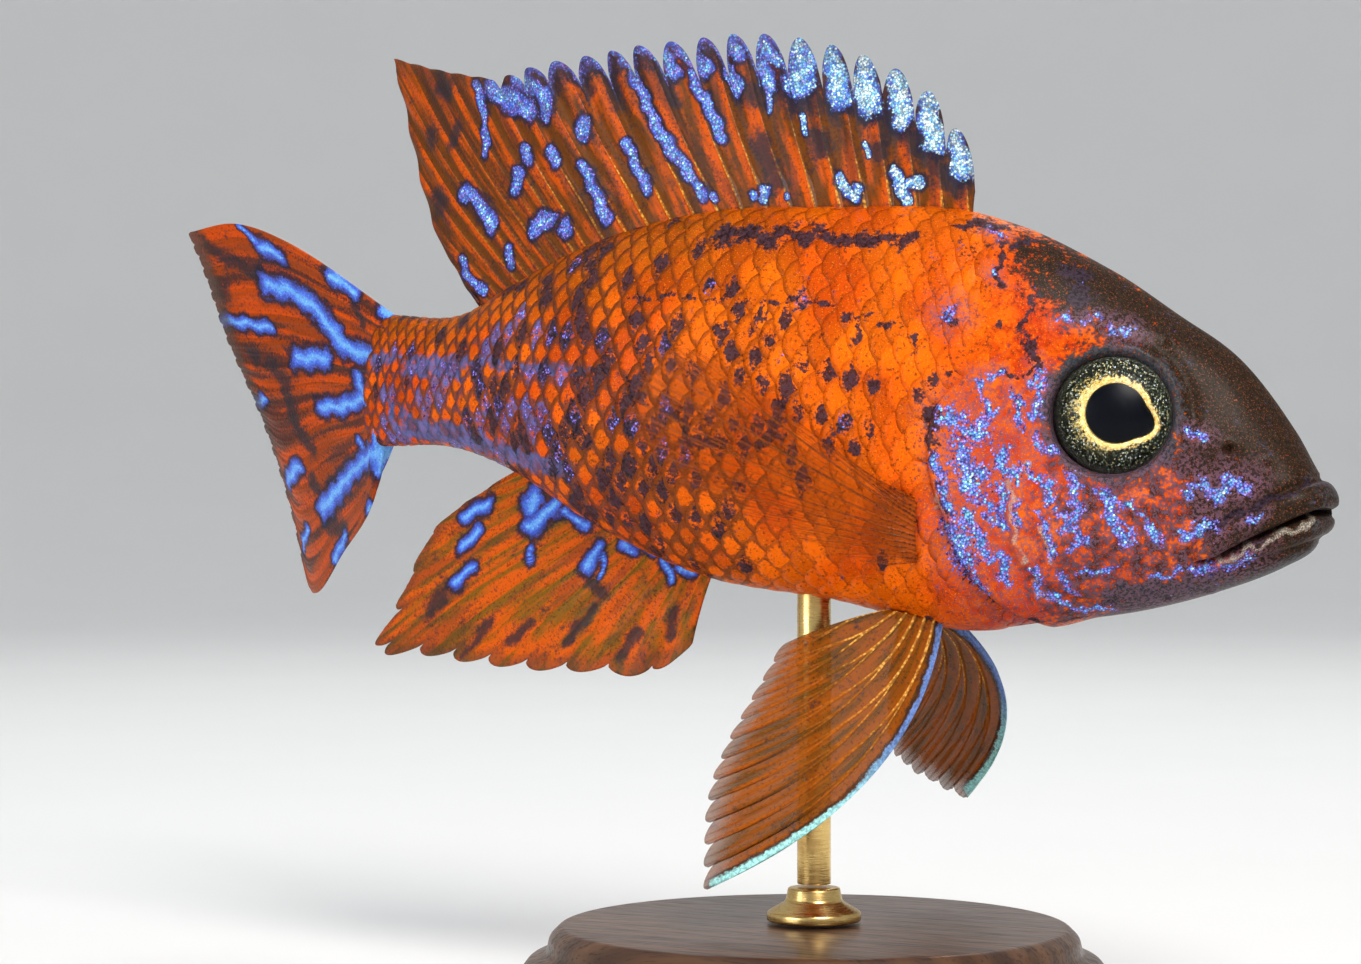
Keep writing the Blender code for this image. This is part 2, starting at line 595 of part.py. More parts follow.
def build():
    for old in list(bpy.data.objects):
        bpy.data.objects.remove(old)
    empty = pose_empty()
    for part in head_parts():
        add_flesh(part, empty, LAVENDER if part.name.startswith("gill") else SLATE, SKIN_ROUGHNESS)
    trunk, stalk = trunk_parts()
    trunk = add_flesh(trunk, empty, ORANGE, SKIN_ROUGHNESS)
    add_flesh(stalk, empty, ORANGE, SKIN_ROUGHNESS)
    for fin in (dorsal_fin(), anal_fin(), tail_fin()):
        add_flesh(fin, empty, FIN_ORANGE, FIN_ROUGHNESS)
    near = pelvic_fin("pelvic_fin_right", PELVIC_NEAR_LEAD, PELVIC_NEAR_REAR, PELVIC_NEAR_EDGE, -1)
    far = pelvic_fin("pelvic_fin_left", PELVIC_FAR_LEAD, PELVIC_FAR_REAR, PELVIC_FAR_EDGE, 1)
    near_side = pectoral_fin("pectoral_fin_right", -1, PECTORAL_SPREAD[0])
    far_side = pectoral_fin("pectoral_fin_left", 1, PECTORAL_SPREAD[1])
    for fin in (near, far, near_side, far_side):
        add_flesh(fin, empty, OLIVE, FIN_ROUGHNESS)
    for name, side in (("eye_right", -1), ("eye_left", 1)):
        add_flesh(eyeball(name, side), empty, EYE_GOLD, EYE_ROUGHNESS)
    stand(trunk)


build()
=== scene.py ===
# %% [markdown]
# # A peacock cichlid on a display stand
# A male orange-blotch peacock cichlid, caught as it swims and turns, made as a life-size model.
# The solids of the frame give its pose and outline. This script puts the living surface on them:
# one skin, overlapping scales, rayed fins, wet eyes and a turned wooden stand.
# Everything is first worked out on a straight fish in millimetres, where a place on its side is
# easy to name: s is the distance behind the snout, z the height above the body's axis, and y the
# distance to the fish's left. One function then bends and lifts every point into place in metres.

# %% Load the frame
import math

import bpy
import numpy as np
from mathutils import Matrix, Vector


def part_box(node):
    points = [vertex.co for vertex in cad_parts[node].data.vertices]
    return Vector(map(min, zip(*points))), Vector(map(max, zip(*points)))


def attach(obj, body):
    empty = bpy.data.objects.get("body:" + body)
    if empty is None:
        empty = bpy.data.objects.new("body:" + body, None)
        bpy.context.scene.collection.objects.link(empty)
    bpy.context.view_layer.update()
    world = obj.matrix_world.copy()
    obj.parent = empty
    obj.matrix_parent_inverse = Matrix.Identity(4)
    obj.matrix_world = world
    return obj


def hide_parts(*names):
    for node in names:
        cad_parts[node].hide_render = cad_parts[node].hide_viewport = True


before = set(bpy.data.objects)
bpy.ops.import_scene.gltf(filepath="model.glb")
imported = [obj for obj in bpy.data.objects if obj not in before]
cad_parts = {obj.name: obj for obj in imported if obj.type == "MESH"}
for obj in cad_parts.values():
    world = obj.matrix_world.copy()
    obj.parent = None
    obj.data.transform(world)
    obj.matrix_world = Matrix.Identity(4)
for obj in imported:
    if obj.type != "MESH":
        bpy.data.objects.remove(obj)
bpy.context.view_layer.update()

MM = 0.001
RIGHT, LEFT = -1.0, 1.0
rng = np.random.default_rng(7)

# %% [markdown]
# ## The swimming pose
# A fish turns by bending its spine sideways. The heading changes smoothly from the back of the
# head to the tail, so a point keeps its distance along the spine and its distance from it.
# The whole fish then tips nose-down a little, and stands above the rod.

# %% Bend a straight fish into its pose
HEAD_TURN = math.radians(-12.0)
TAIL_TURN = math.radians(21.0)
BEND_START, BEND_END = 34.0, 100.0
HEAD_DOWN = math.radians(6.6)
ROD_AT = 46.0
SNOUT_HEIGHT = 45.0
SPINE_LENGTH, SPINE_STEPS = 160.0, 1600


def ease(value, low, high):
    """0 at low, 1 at high, smooth between and level beyond. With low above high it falls."""
    t = np.clip((value - low) / (high - low), 0.0, 1.0)
    return t * t * (3 - 2 * t)


def running_total(steps):
    """Totals along the last axis, from nought."""
    return np.concatenate([np.zeros((*steps.shape[:-1], 1)), np.cumsum(steps, axis=-1)], axis=-1)


def stacked(*parts):
    """Numbers spread to one shape and set side by side, as coordinates."""
    return np.stack(np.broadcast_arrays(*parts), -1)


def spine_table():
    s = np.linspace(0.0, SPINE_LENGTH, SPINE_STEPS + 1)
    heading = HEAD_TURN + (TAIL_TURN - HEAD_TURN) * ease(s, BEND_START, BEND_END)
    x = -running_total((np.cos(heading[1:]) + np.cos(heading[:-1])) / 2 * s[1])
    y = running_total((np.sin(heading[1:]) + np.sin(heading[:-1])) / 2 * s[1])
    return s, x, y, heading


SPINE = spine_table()


def bend(points):
    s, x, y, heading = SPINE
    behind, across = -points[..., 0], points[..., 1]
    turn = np.interp(behind, s, heading)
    ahead = np.maximum(-behind, 0.0) * np.cos(HEAD_TURN)
    side = np.maximum(-behind, 0.0) * -np.sin(HEAD_TURN)
    return stacked(np.interp(behind, s, x) + ahead + np.sin(turn) * across,
                   np.interp(behind, s, y) + side + np.cos(turn) * across, points[..., 2])


def to_world(points):
    """Straight-fish millimetres to metres on the stand."""
    bent = bend(np.asarray(points, float))
    under = bend(np.array([-ROD_AT, 0.0, 0.0]))
    down, level = math.sin(HEAD_DOWN), math.cos(HEAD_DOWN)
    x = bent[..., 0] * level + bent[..., 2] * down - under[0] * level
    z = bent[..., 2] * level - bent[..., 0] * down + SNOUT_HEIGHT
    return stacked(x, bent[..., 1] - under[1], z) * MM


print("snout at", np.round(to_world([0.0, 0.0, 0.0]), 4))

# %% [markdown]
# ## The camera, the light and the floor
# The photo looks at the fish's right side, level with it and from a little in front. A long lens
# keeps the fish's proportions. Three wide lamps and a pale sky give the soft light of a studio:
# the strongest from the front and above, a weak one on the other side, and one from behind that
# draws a bright line along the back.

# %% Camera, lamps and backdrop
CAMERA_AZIMUTH = math.radians(27.5)
CAMERA_AT = (0.12909, -0.27367, 0.04628)
LENS = 90.0
FRAME_WIDTH = 36.0
LIT_PLACE = (0.0, 0.0, 0.05)
SKY, SKY_STRENGTH = (0.92, 0.95, 1.0, 1.0), 0.6
scene = bpy.context.scene


def add_camera():
    camera = bpy.data.cameras.new("camera")
    camera.lens = LENS
    camera.sensor_width = FRAME_WIDTH
    camera.clip_start = 0.01
    holder = bpy.data.objects.new("camera", camera)
    holder.location = CAMERA_AT
    holder.rotation_euler = (math.radians(90.0), 0.0, CAMERA_AZIMUTH)
    scene.collection.objects.link(holder)
    scene.camera = holder


def aim(holder, target):
    direction = np.array(target) - np.array(holder.location)
    flat = math.hypot(direction[0], direction[1])
    holder.rotation_euler = (math.pi / 2 + math.atan2(direction[2], flat), 0.0,
                             math.atan2(direction[1], direction[0]) - math.pi / 2)


def add_lamp(name, azimuth, elevation, distance, size, power, colour):
    lamp = bpy.data.lights.new(name, "AREA")
    lamp.shape = "DISK"
    lamp.size = size
    lamp.energy = power
    lamp.color = colour
    holder = bpy.data.objects.new(name, lamp)
    turn = math.radians(azimuth) - math.pi / 2
    rise = math.radians(elevation)
    way = (math.cos(rise) * math.cos(turn), math.cos(rise) * math.sin(turn), math.sin(rise))
    holder.location = [place + distance * part for place, part in zip(LIT_PLACE, way)]
    aim(holder, LIT_PLACE)
    scene.collection.objects.link(holder)


add_camera()
add_lamp("key_lamp", 50.0, 42.0, 0.60, 0.30, 2.5, (1.0, 0.97, 0.93))
add_lamp("fill_lamp", -30.0, 10.0, 0.70, 0.45, 1.5, (0.93, 0.96, 1.0))
add_lamp("back_lamp", 200.0, 50.0, 0.70, 0.35, 1.2, (1.0, 1.0, 1.0))
scene.view_settings.view_transform = "Standard"
scene.view_settings.look = "Medium High Contrast"
world = bpy.data.worlds.new("studio")
scene.world = world
world.use_nodes = True
world.node_tree.nodes["Background"].inputs["Color"].default_value = SKY
world.node_tree.nodes["Background"].inputs["Strength"].default_value = SKY_STRENGTH
print("camera turned", round(math.degrees(CAMERA_AZIMUTH), 1), "degrees, lens", LENS, "mm")

# %% [markdown]
# ## Mesh and node helpers
# All the shapes here are grids and rings of points that a formula places, so one helper turns
# an array of points into a mesh, and another writes values for its points. The values are what
# the finishes read: where a mark is, how near a ray, how far out on its scale a point lies.
# Materials are node trees, and short helpers keep each of them readable.

# %% Mesh helpers
def add_values(made, values):
    """Write numbers to a mesh's points, under the names that its finish reads."""
    for key, value in values.items():
        layer = made.data.attributes.new(key, "FLOAT", "POINT")
        layer.data.foreach_set("value", np.asarray(value, np.float32).ravel())


def mesh_object(name, points, faces, values=None):
    """A smooth-shaded object from world points, arrays of faces and a named value for each point."""
    mesh = bpy.data.meshes.new(name)
    points = np.asarray(points, np.float32).reshape(-1, 3)
    corners = np.concatenate([group.ravel() for group in faces]).astype(np.int32)
    sizes = np.concatenate([np.full(len(group), group.shape[1]) for group in faces])
    starts = np.concatenate([[0], np.cumsum(sizes)[:-1]]).astype(np.int32)
    mesh.vertices.add(len(points))
    mesh.vertices.foreach_set("co", points.ravel())
    mesh.loops.add(len(corners))
    mesh.loops.foreach_set("vertex_index", corners)
    mesh.polygons.add(len(sizes))
    mesh.polygons.foreach_set("loop_start", starts)
    mesh.update(calc_edges=True)
    mesh.validate()
    mesh.shade_smooth()
    made = bpy.data.objects.new(name, mesh)
    scene.collection.objects.link(made)
    add_values(made, values or {})
    return made


def grid_faces(rows, columns, closed=False):
    """The faces between neighbours of a grid of points, joined round when closed."""
    i = np.arange(rows - 1)[:, None]
    j = np.arange(columns if closed else columns - 1)[None, :]
    a = i * columns + j
    b = i * columns + (j + 1) % columns
    return stacked(a, b, b + columns, a + columns).reshape(-1, 4)


def disc_faces(rings, sides):
    """Quads between rings and one wide face at each end."""
    end = np.arange(sides)[None, :]
    return [grid_faces(rings, sides, closed=True), end[:, ::-1], end + (rings - 1) * sides]


def flipped(faces, turned=True):
    return [group[:, ::-1] for group in faces] if turned else faces


def full_turn(sides):
    return np.arange(sides) / sides * 2 * math.pi


def shares(count):
    return np.linspace(0.0, 1.0, count)


def unit(vectors):
    return vectors / np.maximum(np.linalg.norm(vectors, axis=-1, keepdims=True), 1e-9)


# %% Bake map
HALF_MAP = 0.5


def bake_map(made, places, wraps=False, rim_faces=0):
    """The map that finishes are baked to: one place for each point, spread to its corners."""
    layer = made.data.uv_layers.new(name="OFBake")
    index = np.empty(len(made.data.loops), np.int32)
    made.data.loops.foreach_get("vertex_index", index)
    corners = np.asarray(places, np.float32)[index]
    if wraps:
        # the faces that close a ring run on past 1, where they would fold back to nought
        starts = np.empty(len(made.data.polygons), np.int32)
        made.data.polygons.foreach_get("loop_start", starts)
        face = np.repeat(np.arange(len(starts)), np.diff(np.append(starts, len(index))))
        highest = np.maximum.reduceat(corners[:, 1], starts)[face]
        corners[:, 1] += highest - corners[:, 1] > HALF_MAP
    if rim_faces:
        # a plate's front and back lie side by side, and the quads of its rim stay with the front
        rim = corners[-4 * rim_faces:]
        rim[:, 0] -= np.where(rim[:, 0] > HALF_MAP - 0.005, HALF_MAP, 0.0).astype(np.float32)
    layer.data.foreach_set("uv", corners.ravel())


# %% Node helpers
def fill(tree, node, **sockets):
    """Give a node's sockets numbers, colours or links, by name, or by number as in i6."""
    for key, value in sockets.items():
        numbered = key[0] == "i" and key[1:].isdigit()
        socket = node.inputs[int(key[1:]) if numbered else key.replace("_", " ")]
        if isinstance(value, bpy.types.NodeSocket):
            tree.links.new(value, socket)
        elif socket.type == "RGBA":
            socket.default_value = (*value, 1.0)
        else:
            socket.default_value = value
    return node


def put(tree, kind, settings=None, **sockets):
    """A new node of a kind, with its settings made and its sockets filled."""
    made = tree.nodes.new("ShaderNode" + kind)
    for key, value in (settings or {}).items():
        setattr(made, key, value)
    return fill(tree, made, **sockets)


def calc(tree, operation, a, b=0.0, clamp=False):
    return put(tree, "Math", {"operation": operation, "use_clamp": clamp}, i0=a, i1=b).outputs[0]


def times(tree, a, b, clamp=False):
    return calc(tree, "MULTIPLY", a, b, clamp)


def plus(tree, a, b):
    return calc(tree, "ADD", a, b)


def higher(tree, a, b):
    return calc(tree, "MAXIMUM", a, b)


def about(tree, value, amount, middle=0.5):
    """A value's swing to both sides of its middle, times an amount."""
    return times(tree, calc(tree, "SUBTRACT", value, middle), amount)


def blend(tree, share, a, b):
    return put(tree, "Mix", {"data_type": "RGBA"}, i0=share, i6=a, i7=b).outputs[2]


def layered(tree, colour, *layers):
    """A colour with others laid over it in order, each given as (share, colour)."""
    for share, over in layers:
        colour = blend(tree, share, colour, over)
    return colour


def scaled(tree, colour, by):
    return put(tree, "VectorMath", {"operation": "SCALE"}, i0=colour, Scale=by).outputs[0]


def fit(tree, value, low, high, to_low=0.0, to_high=1.0):
    """A value stretched smoothly from one range to another, and held beyond it."""
    return put(tree, "MapRange", {"interpolation_type": "SMOOTHSTEP"}, Value=value, From_Min=low,
               From_Max=high, To_Min=to_low, To_Max=to_high).outputs["Result"]


def ramp(tree, value, stops):
    """A colour ramp from (place, colour) pairs."""
    made = put(tree, "ValToRGB", None, Fac=value)
    elements = made.color_ramp.elements
    while len(elements) < len(stops):
        elements.new(0.5)
    for element, (place, colour) in zip(elements, stops):
        element.position = place
        element.color = (*colour, 1.0)
    return made.outputs["Color"]


# %% What a finish reads
def value_of(tree, name):
    return put(tree, "Attribute", {"attribute_name": name}).outputs["Fac"]


def read_values(tree, *names):
    """Point values, listed under the names that a group's inputs have."""
    return {name.title(): value_of(tree, name) for name in names}


def place_of(tree):
    """A point's place on its object, from one node for each tree."""
    made = tree.nodes.get("Texture Coordinate") or put(tree, "TexCoord")
    return made.outputs["Object"]


def noise(tree, size_mm, detail=3.0, roughness=0.55, place=None):
    """Cloudy noise whose lumps are about a size in millimetres."""
    return put(tree, "TexNoise", None, Vector=place or place_of(tree), Scale=1.0 / (size_mm * MM),
               Detail=detail, Roughness=roughness).outputs["Fac"]


def cells_of(tree, size_mm):
    """Cells of about a size in millimetres: the distance from their middle, and a colour for each."""
    return put(tree, "TexVoronoi", None, Vector=place_of(tree), Scale=1 / (size_mm * MM)).outputs


def split_colour(tree, colour):
    return put(tree, "SeparateColor", None, Color=colour).outputs


# %% Materials and groups
def finish_for(name, **constants):
    """A material with its shader's constant numbers set. Colour and bump come from its own function."""
    made = bpy.data.materials.new(name)
    made.use_nodes = True
    shader = made.node_tree.nodes["Principled BSDF"]
    return made, made.node_tree, fill(made.node_tree, shader, **constants)


def bumped(tree, height, depth):
    """The normal of a bump of a depth in millimetres."""
    return put(tree, "Bump", None, Strength=1.0, Distance=depth * MM, Height=height).outputs["Normal"]


def shader_group(name, numbers, outputs, colours=()):
    """An empty shader node group: names of its number and colour inputs, and kinds of its outputs."""
    group = bpy.data.node_groups.new(name, "ShaderNodeTree")
    inputs = {**dict.fromkeys(colours, "Color"), **dict.fromkeys(numbers, "Float")}
    for way, sockets in (("INPUT", inputs), ("OUTPUT", outputs)):
        for key, kind in sockets.items():
            group.interface.new_socket(key, in_out=way, socket_type="NodeSocket" + kind)
    return group, group.nodes.new("NodeGroupInput").outputs, group.nodes.new("NodeGroupOutput")


def use_group(tree, group, **sockets):
    return put(tree, "Group", {"node_tree": group}, **sockets).outputs


# %% [markdown]
# ## The pale sheet
# A photographer's sheet lies flat under the stand and sweeps up behind, so that no line crosses
# the picture. Here it sweeps up all round, for a look from any side.

# %% Floor
FLOOR_FLAT, FLOOR_BEND, FLOOR_WALL = 0.8, 0.7, 1.2
FLAT_RINGS, BEND_RINGS, FLOOR_SIDES = 8, 12, 96


def add_floor():
    """A flat disc whose edge turns up all round in a quarter circle, like a shallow bowl."""
    turn = np.linspace(0.0, math.pi / 2, BEND_RINGS + 1)[1:]
    reach = np.concatenate([[0.001], np.linspace(0.1, FLOOR_FLAT, FLAT_RINGS),
                            FLOOR_FLAT + FLOOR_BEND * np.sin(turn)])
    rise = np.concatenate([np.zeros(FLAT_RINGS + 1), FLOOR_BEND * (1 - np.cos(turn))])
    reach = np.append(reach, reach[-1])[:, None]
    rise = np.append(rise, rise[-1] + FLOOR_WALL)[:, None]
    angle = full_turn(FLOOR_SIDES)
    points = stacked(reach * np.cos(angle), reach * np.sin(angle), rise)
    floor = mesh_object("floor", points, disc_faces(len(reach), FLOOR_SIDES)[:2])
    made, tree, shader = finish_for("pale_paper", Roughness=0.85)
    fill(tree, shader, Base_Color=blend(tree, noise(tree, 60.0), (0.80, 0.80, 0.79), (0.83, 0.83, 0.82)))
    floor.data.materials.append(made)


add_floor()
print("floor", 2 * (FLOOR_FLAT + FLOOR_BEND), "m across")

# %% [markdown]
# ## The body's form
# A cichlid's body is deep and flat-sided, with a steep forehead, a full breast and a slim tail
# stalk. It could be sculpted, but a loft is exact: a few stations give the back, the belly and
# the half width, a smooth curve joins them, and every cross-section is an oval whose sharpness
# changes along the fish.

# %% Body stations and cross-sections
BACK = [(0.0, 0.5), (1.3, 1.5), (3.8, 5.0), (8.9, 10.5), (14.5, 13.8), (21.0, 17.3), (33.5, 21.4),
        (46.0, 20.8), (58.0, 19.3), (69.0, 15.8), (78.0, 11.3), (85.0, 7.7), (96.0, 6.8)]
BELLY = [(0.0, -2.3), (1.1, -4.4), (3.4, -6.3), (8.9, -9.2), (15.1, -11.6), (22.0, -13.4), (31.0, -15.4),
         (42.0, -14.2), (54.0, -13.7), (65.0, -10.8), (76.0, -6.6), (84.0, -5.2), (96.0, -6.2)]
HALF_WIDTH = [(0.0, 1.7), (0.8, 3.0), (2.5, 4.2), (6.0, 5.1), (12.0, 6.2), (20.0, 7.3), (30.0, 8.4),
              (42.0, 8.9), (54.0, 8.5), (66.0, 6.9), (78.0, 4.5), (88.0, 2.9), (96.0, 1.9)]
WIDEST = [(0.0, -1.0), (6.0, -3.0), (14.0, -2.5), (24.0, -2.0), (40.0, 0.0), (60.0, 1.5), (96.0, 0.4)]
BACK_SHARP = [(0.0, 0.85), (2.0, 1.15), (7.0, 1.2), (16.0, 1.05), (34.0, 1.1), (60.0, 1.15), (96.0, 0.9)]
BELLY_SHARP = [(0.0, 0.8), (16.0, 0.9), (40.0, 0.8), (60.0, 0.95), (96.0, 0.9)]
DEEPEST_AT = 33.5
BODY_END = 95.3
NOSE_ROUNDING = 1.6
NOSE_HEIGHT = -1.35


def smooth(stations, at):
    """The value at each distance, on a smooth curve through the stations, level beyond them."""
    xs, ys = np.array(stations, float).T
    slope = np.diff(ys) / np.diff(xs)
    tangent = np.concatenate([[slope[0]], (slope[1:] + slope[:-1]) / 2, [slope[-1]]])
    at = np.clip(at, xs[0], xs[-1])
    i = np.clip(np.searchsorted(xs, at, side="right") - 1, 0, len(slope) - 1)
    step = xs[i + 1] - xs[i]
    t = (at - xs[i]) / step
    start = ys[i] * (1 + 2 * t) * (1 - t) ** 2 + tangent[i] * step * t * (1 - t) ** 2
    return start + ys[i + 1] * t * t * (3 - 2 * t) + tangent[i + 1] * step * t * t * (t - 1)


def levels(s):
    """Heights of the back, the belly and the widest line."""
    return smooth(BACK, s), smooth(BELLY, s), smooth(WIDEST, s)


def section(s, angle):
    """Straight points at distances s, and at angles up the side from the widest height."""
    top, bottom, middle = levels(s)
    rise = np.sin(angle)
    sharp = np.where(rise > 0, smooth(BACK_SHARP, s), smooth(BELLY_SHARP, s))
    across = np.abs(np.cos(angle)) ** sharp * smooth(HALF_WIDTH, s)
    height = middle + np.where(rise > 0, top - middle, middle - bottom) * rise
    nose = np.sqrt(1 - (1 - np.minimum(s / NOSE_ROUNDING, 1.0)) ** 2)
    return stacked(-s, across * nose, NOSE_HEIGHT + (height - NOSE_HEIGHT) * nose)


def flank(s, z):
    """The half width of the body at a height on its side."""
    top, bottom, middle = levels(s)
    reach = (z - middle) / np.where(z > middle, top - middle, middle - bottom)
    sharp = np.where(z > middle, smooth(BACK_SHARP, s), smooth(BELLY_SHARP, s))
    return smooth(HALF_WIDTH, s) * np.maximum(1 - reach * reach, 0.0) ** (sharp / 2)


print("deepest", round(float(smooth(BACK, DEEPEST_AT) - smooth(BELLY, DEEPEST_AT)), 1), "mm")

# %% [markdown]
# ## Relief of the head
# A fish's head is bone under thin skin, so its edges are crisp: two lips that roll into the
# mouth slit, the free edge of the gill cover with a groove behind it, the bent ridge in front
# of it, the rim of the eye, a nostril, and the open pores that this genus is known for.
# They could be separate pieces, but their bases would show. Here each one is a height added
# to the skin, worked out from the distance to a short line or point on the side view.

# %% Lines of the head
MOUTH_LINE = [(-1.0, -1.25), (1.1, -1.45), (2.7, -2.2), (5.9, -4.1), (9.1, -6.3), (10.3, -6.7)]
LIP_TOP = [(-1.0, 1.4), (1.3, 1.4), (3.4, 0.5), (5.7, -1.0), (7.8, -2.3), (9.8, -4.1), (11.1, -5.8)]
LOWER_LIP = [(-1.0, -3.6), (0.6, -3.5), (2.4, -4.4), (5.9, -6.0), (9.2, -7.2), (10.6, -7.1)]
MAXILLA_END = [(9.8, -4.1), (11.2, -5.7), (11.0, -6.9), (9.8, -7.0)]
GILL_EDGE = [(31.3, 7.4), (33.0, 5.6), (34.0, 3.4), (34.2, 1.2), (33.5, -2.1), (32.1, -5.2), (30.7, -8.2),
             (28.8, -10.7), (26.6, -12.5), (22.5, -14.0)]
CHEEK_RIDGE = [(25.6, 7.6), (26.5, 3.6), (27.0, -1.0), (26.8, -5.0), (25.4, -8.6), (21.8, -10.6),
               (17.5, -10.9)]
SNOUT_BONE = [(15.6, -0.4), (13.4, -2.2), (12.4, -4.4), (12.9, -6.6)]
EYE = (18.9, 5.0)
EYE_RADIUS = 5.3
NOSTRIL = (8.9, 3.2)
PORES = [(5.7, 2.2), (11.2, 3.9), (13.6, -1.1), (12.6, -3.1), (11.6, -1.2), (9.6, -8.9), (13.0, -10.0),
         (17.6, -11.0), (21.3, -10.7), (24.8, -8.8), (26.4, -5.6), (26.9, -1.6), (26.4, 2.6), (15.2, 11.4),
         (20.6, 12.2), (25.2, 10.2)]


def from_line(s, z, line):
    """Distance to a broken line or a point, and which side: positive behind a line that runs down."""
    if len(line) == 1:
        return np.hypot(s - line[0][0], z - line[0][1]), np.ones(np.shape(s))
    best = np.full(np.shape(s), 1e9)
    side = np.zeros(np.shape(s))
    for (s0, z0), (s1, z1) in zip(line, line[1:]):
        ds, dz = s1 - s0, z1 - z0
        t = np.clip(((s - s0) * ds + (z - z0) * dz) / (ds * ds + dz * dz), 0.0, 1.0)
        gap_s, gap_z = s - s0 - t * ds, z - z0 - t * dz
        distance = np.hypot(gap_s, gap_z)
        near = distance < best
        best = np.where(near, distance, best)
        side = np.where(near, np.sign(gap_s * -dz + gap_z * ds), side)
    return best, side


def curve(line, count=24):
    """Points along a smooth curve through the line's own points."""
    points = np.array(line, float)
    length = running_total(np.linalg.norm(np.diff(points, axis=0), axis=1))
    at = np.linspace(0.0, length[-1], count)
    return stacked(*(smooth(list(zip(length, axis)), at) for axis in points.T))


def bump(distance, width):
    return np.exp(-(distance / width) ** 2)


# %% Height of the skin above the loft
def mouth_relief(s, z):
    """Two rolled lips and the slit between them."""
    mouth = np.interp(s, *np.array(MOUTH_LINE).T)
    lip_top = np.interp(s, *np.array(LIP_TOP).T)
    lip_low = np.interp(s, *np.array(LOWER_LIP).T)
    corner = 1 - ease(s, 9.6, 10.8)
    upper = np.clip((z - mouth) / (lip_top - mouth), 0.0, 1.0)
    lower = np.clip((mouth - z) / np.maximum(mouth - lip_low, 0.3), 0.0, 1.0)
    height = 0.55 * np.sin(math.pi * upper) ** 0.7 * (1 - ease(s, 10.2, 11.4))
    height += 0.45 * np.sin(math.pi * lower) ** 0.8 * corner
    slit, _ = from_line(s, z, MOUTH_LINE)
    height -= 1.5 * bump(slit, 0.20 + 0.10 * (1 - ease(s, 0.0, 4.0)))
    above, _ = from_line(s, z, LIP_TOP)
    height -= 0.28 * bump(above, 0.28)
    below, _ = from_line(s, z, LOWER_LIP)
    height -= 0.16 * bump(below, 0.30)
    end, _ = from_line(s, z, MAXILLA_END)
    return height - 0.30 * bump(end, 0.30)


def gill_relief(s, z):
    """The free edge of the gill cover stands proud, and the shoulder dips behind it."""
    distance, side = from_line(s, z, curve(GILL_EDGE))
    behind = distance * side
    slit = ease(z, 9.0, 6.0)
    cover = 0.42 * ease(behind, -4.0, -0.35) * (1 - ease(behind, -0.3, 0.05))
    dip = 0.75 * ease(behind, -0.1, 0.2) * (1 - ease(behind, 0.3, 2.6))
    ridge, ridge_side = from_line(s, z, curve(CHEEK_RIDGE))
    past = ridge * ridge_side
    step = 0.18 * ease(past, -2.2, -0.2) * (1 - ease(past, -0.2, 0.3)) - 0.24 * bump(ridge, 0.32)
    return (cover - dip) * slit + step


def pore_relief(s, z):
    height = np.zeros(np.shape(s))
    for ps, pz in PORES:
        distance = np.hypot(s - ps, z - pz)
        height += 0.07 * bump(distance - 0.42, 0.16) - 0.26 * bump(distance, 0.26)
    distance = np.hypot((s - NOSTRIL[0]) * 0.85, z - NOSTRIL[1])
    return height + 0.16 * bump(distance - 0.62, 0.2) - 0.75 * bump(distance, 0.36)


def eye_relief(s, z):
    """A soft rim round the eye, and the socket falling away inside it."""
    distance = np.hypot(s - EYE[0], z - EYE[1])
    rim = 0.30 * bump(distance - EYE_RADIUS - 0.35, 0.5) - 0.14 * bump(distance - EYE_RADIUS - 1.5, 0.5)
    return rim - 2.8 * (1 - ease(distance, EYE_RADIUS - 0.75, EYE_RADIUS + 0.05))


def soft_relief(s, z):
    """Muscle and bone under the skin: the cheek, the brow over the eye and the snout's bone."""
    cheek = 0.35 * np.exp(-((s - 20.5) / 4.5) ** 2 - ((z + 5.0) / 3.6) ** 2)
    brow = 0.30 * np.exp(-((s - 18.0) / 5.0) ** 2 - ((z - 11.8) / 1.6) ** 2)
    hollow = 0.22 * np.exp(-((s - 12.0) / 2.4) ** 2 - ((z - 6.5) / 2.4) ** 2)
    bone, _ = from_line(s, z, SNOUT_BONE)
    return cheek + brow - hollow - 0.14 * bump(bone, 0.5)


SCALE_DEPTH = 0.30


def relief(s, z):
    """All the heights of the skin over the smooth loft, in millimetres."""
    coat = -SCALE_DEPTH * ease(s, 26.0, 36.0)
    on_head = s < 40.0
    height = mouth_relief(s, z) + gill_relief(s, z) + pore_relief(s, z) + eye_relief(s, z)
    height += soft_relief(s, z)
    return coat + np.where(on_head, height * (1 - ease(s, 37.0, 40.0)), 0.0)


print("head lines", len(GILL_EDGE) + len(CHEEK_RIDGE) + len(MOUTH_LINE), "points,", len(PORES), "pores")

# %% [markdown]
# ## One skin
# Head, jaws, gill covers, trunk and tail stalk are separate solids in the frame, but a fish has
# one skin. It is a single grid of rings, close together on the head where the fine shapes are
# and wider apart under the scales. The rings hold their points at even lengths round the body,
# and each point is pushed along the surface's own normal by the relief.

# %% Skin rings
RING_POINTS = 276
SIDE_POINTS = RING_POINTS // 2 + 1
FINE_STEPS = 720
MOUTH_SHARE = 0.40
SKIN_END = 96.6
MAP_SCALE = 0.01


def ring_distances():
    """Distances of the rings: fine on the snout and head, coarser behind."""
    snout = 0.02 + 2.0 * np.linspace(0.0, 1.0, 15, endpoint=False) ** 1.6
    head = np.arange(2.0, 36.0, 0.175)
    trunk = np.linspace(36.0, BODY_END, 118)
    return np.concatenate([snout, head, trunk, np.linspace(BODY_END + 0.15, SKIN_END, 8)])


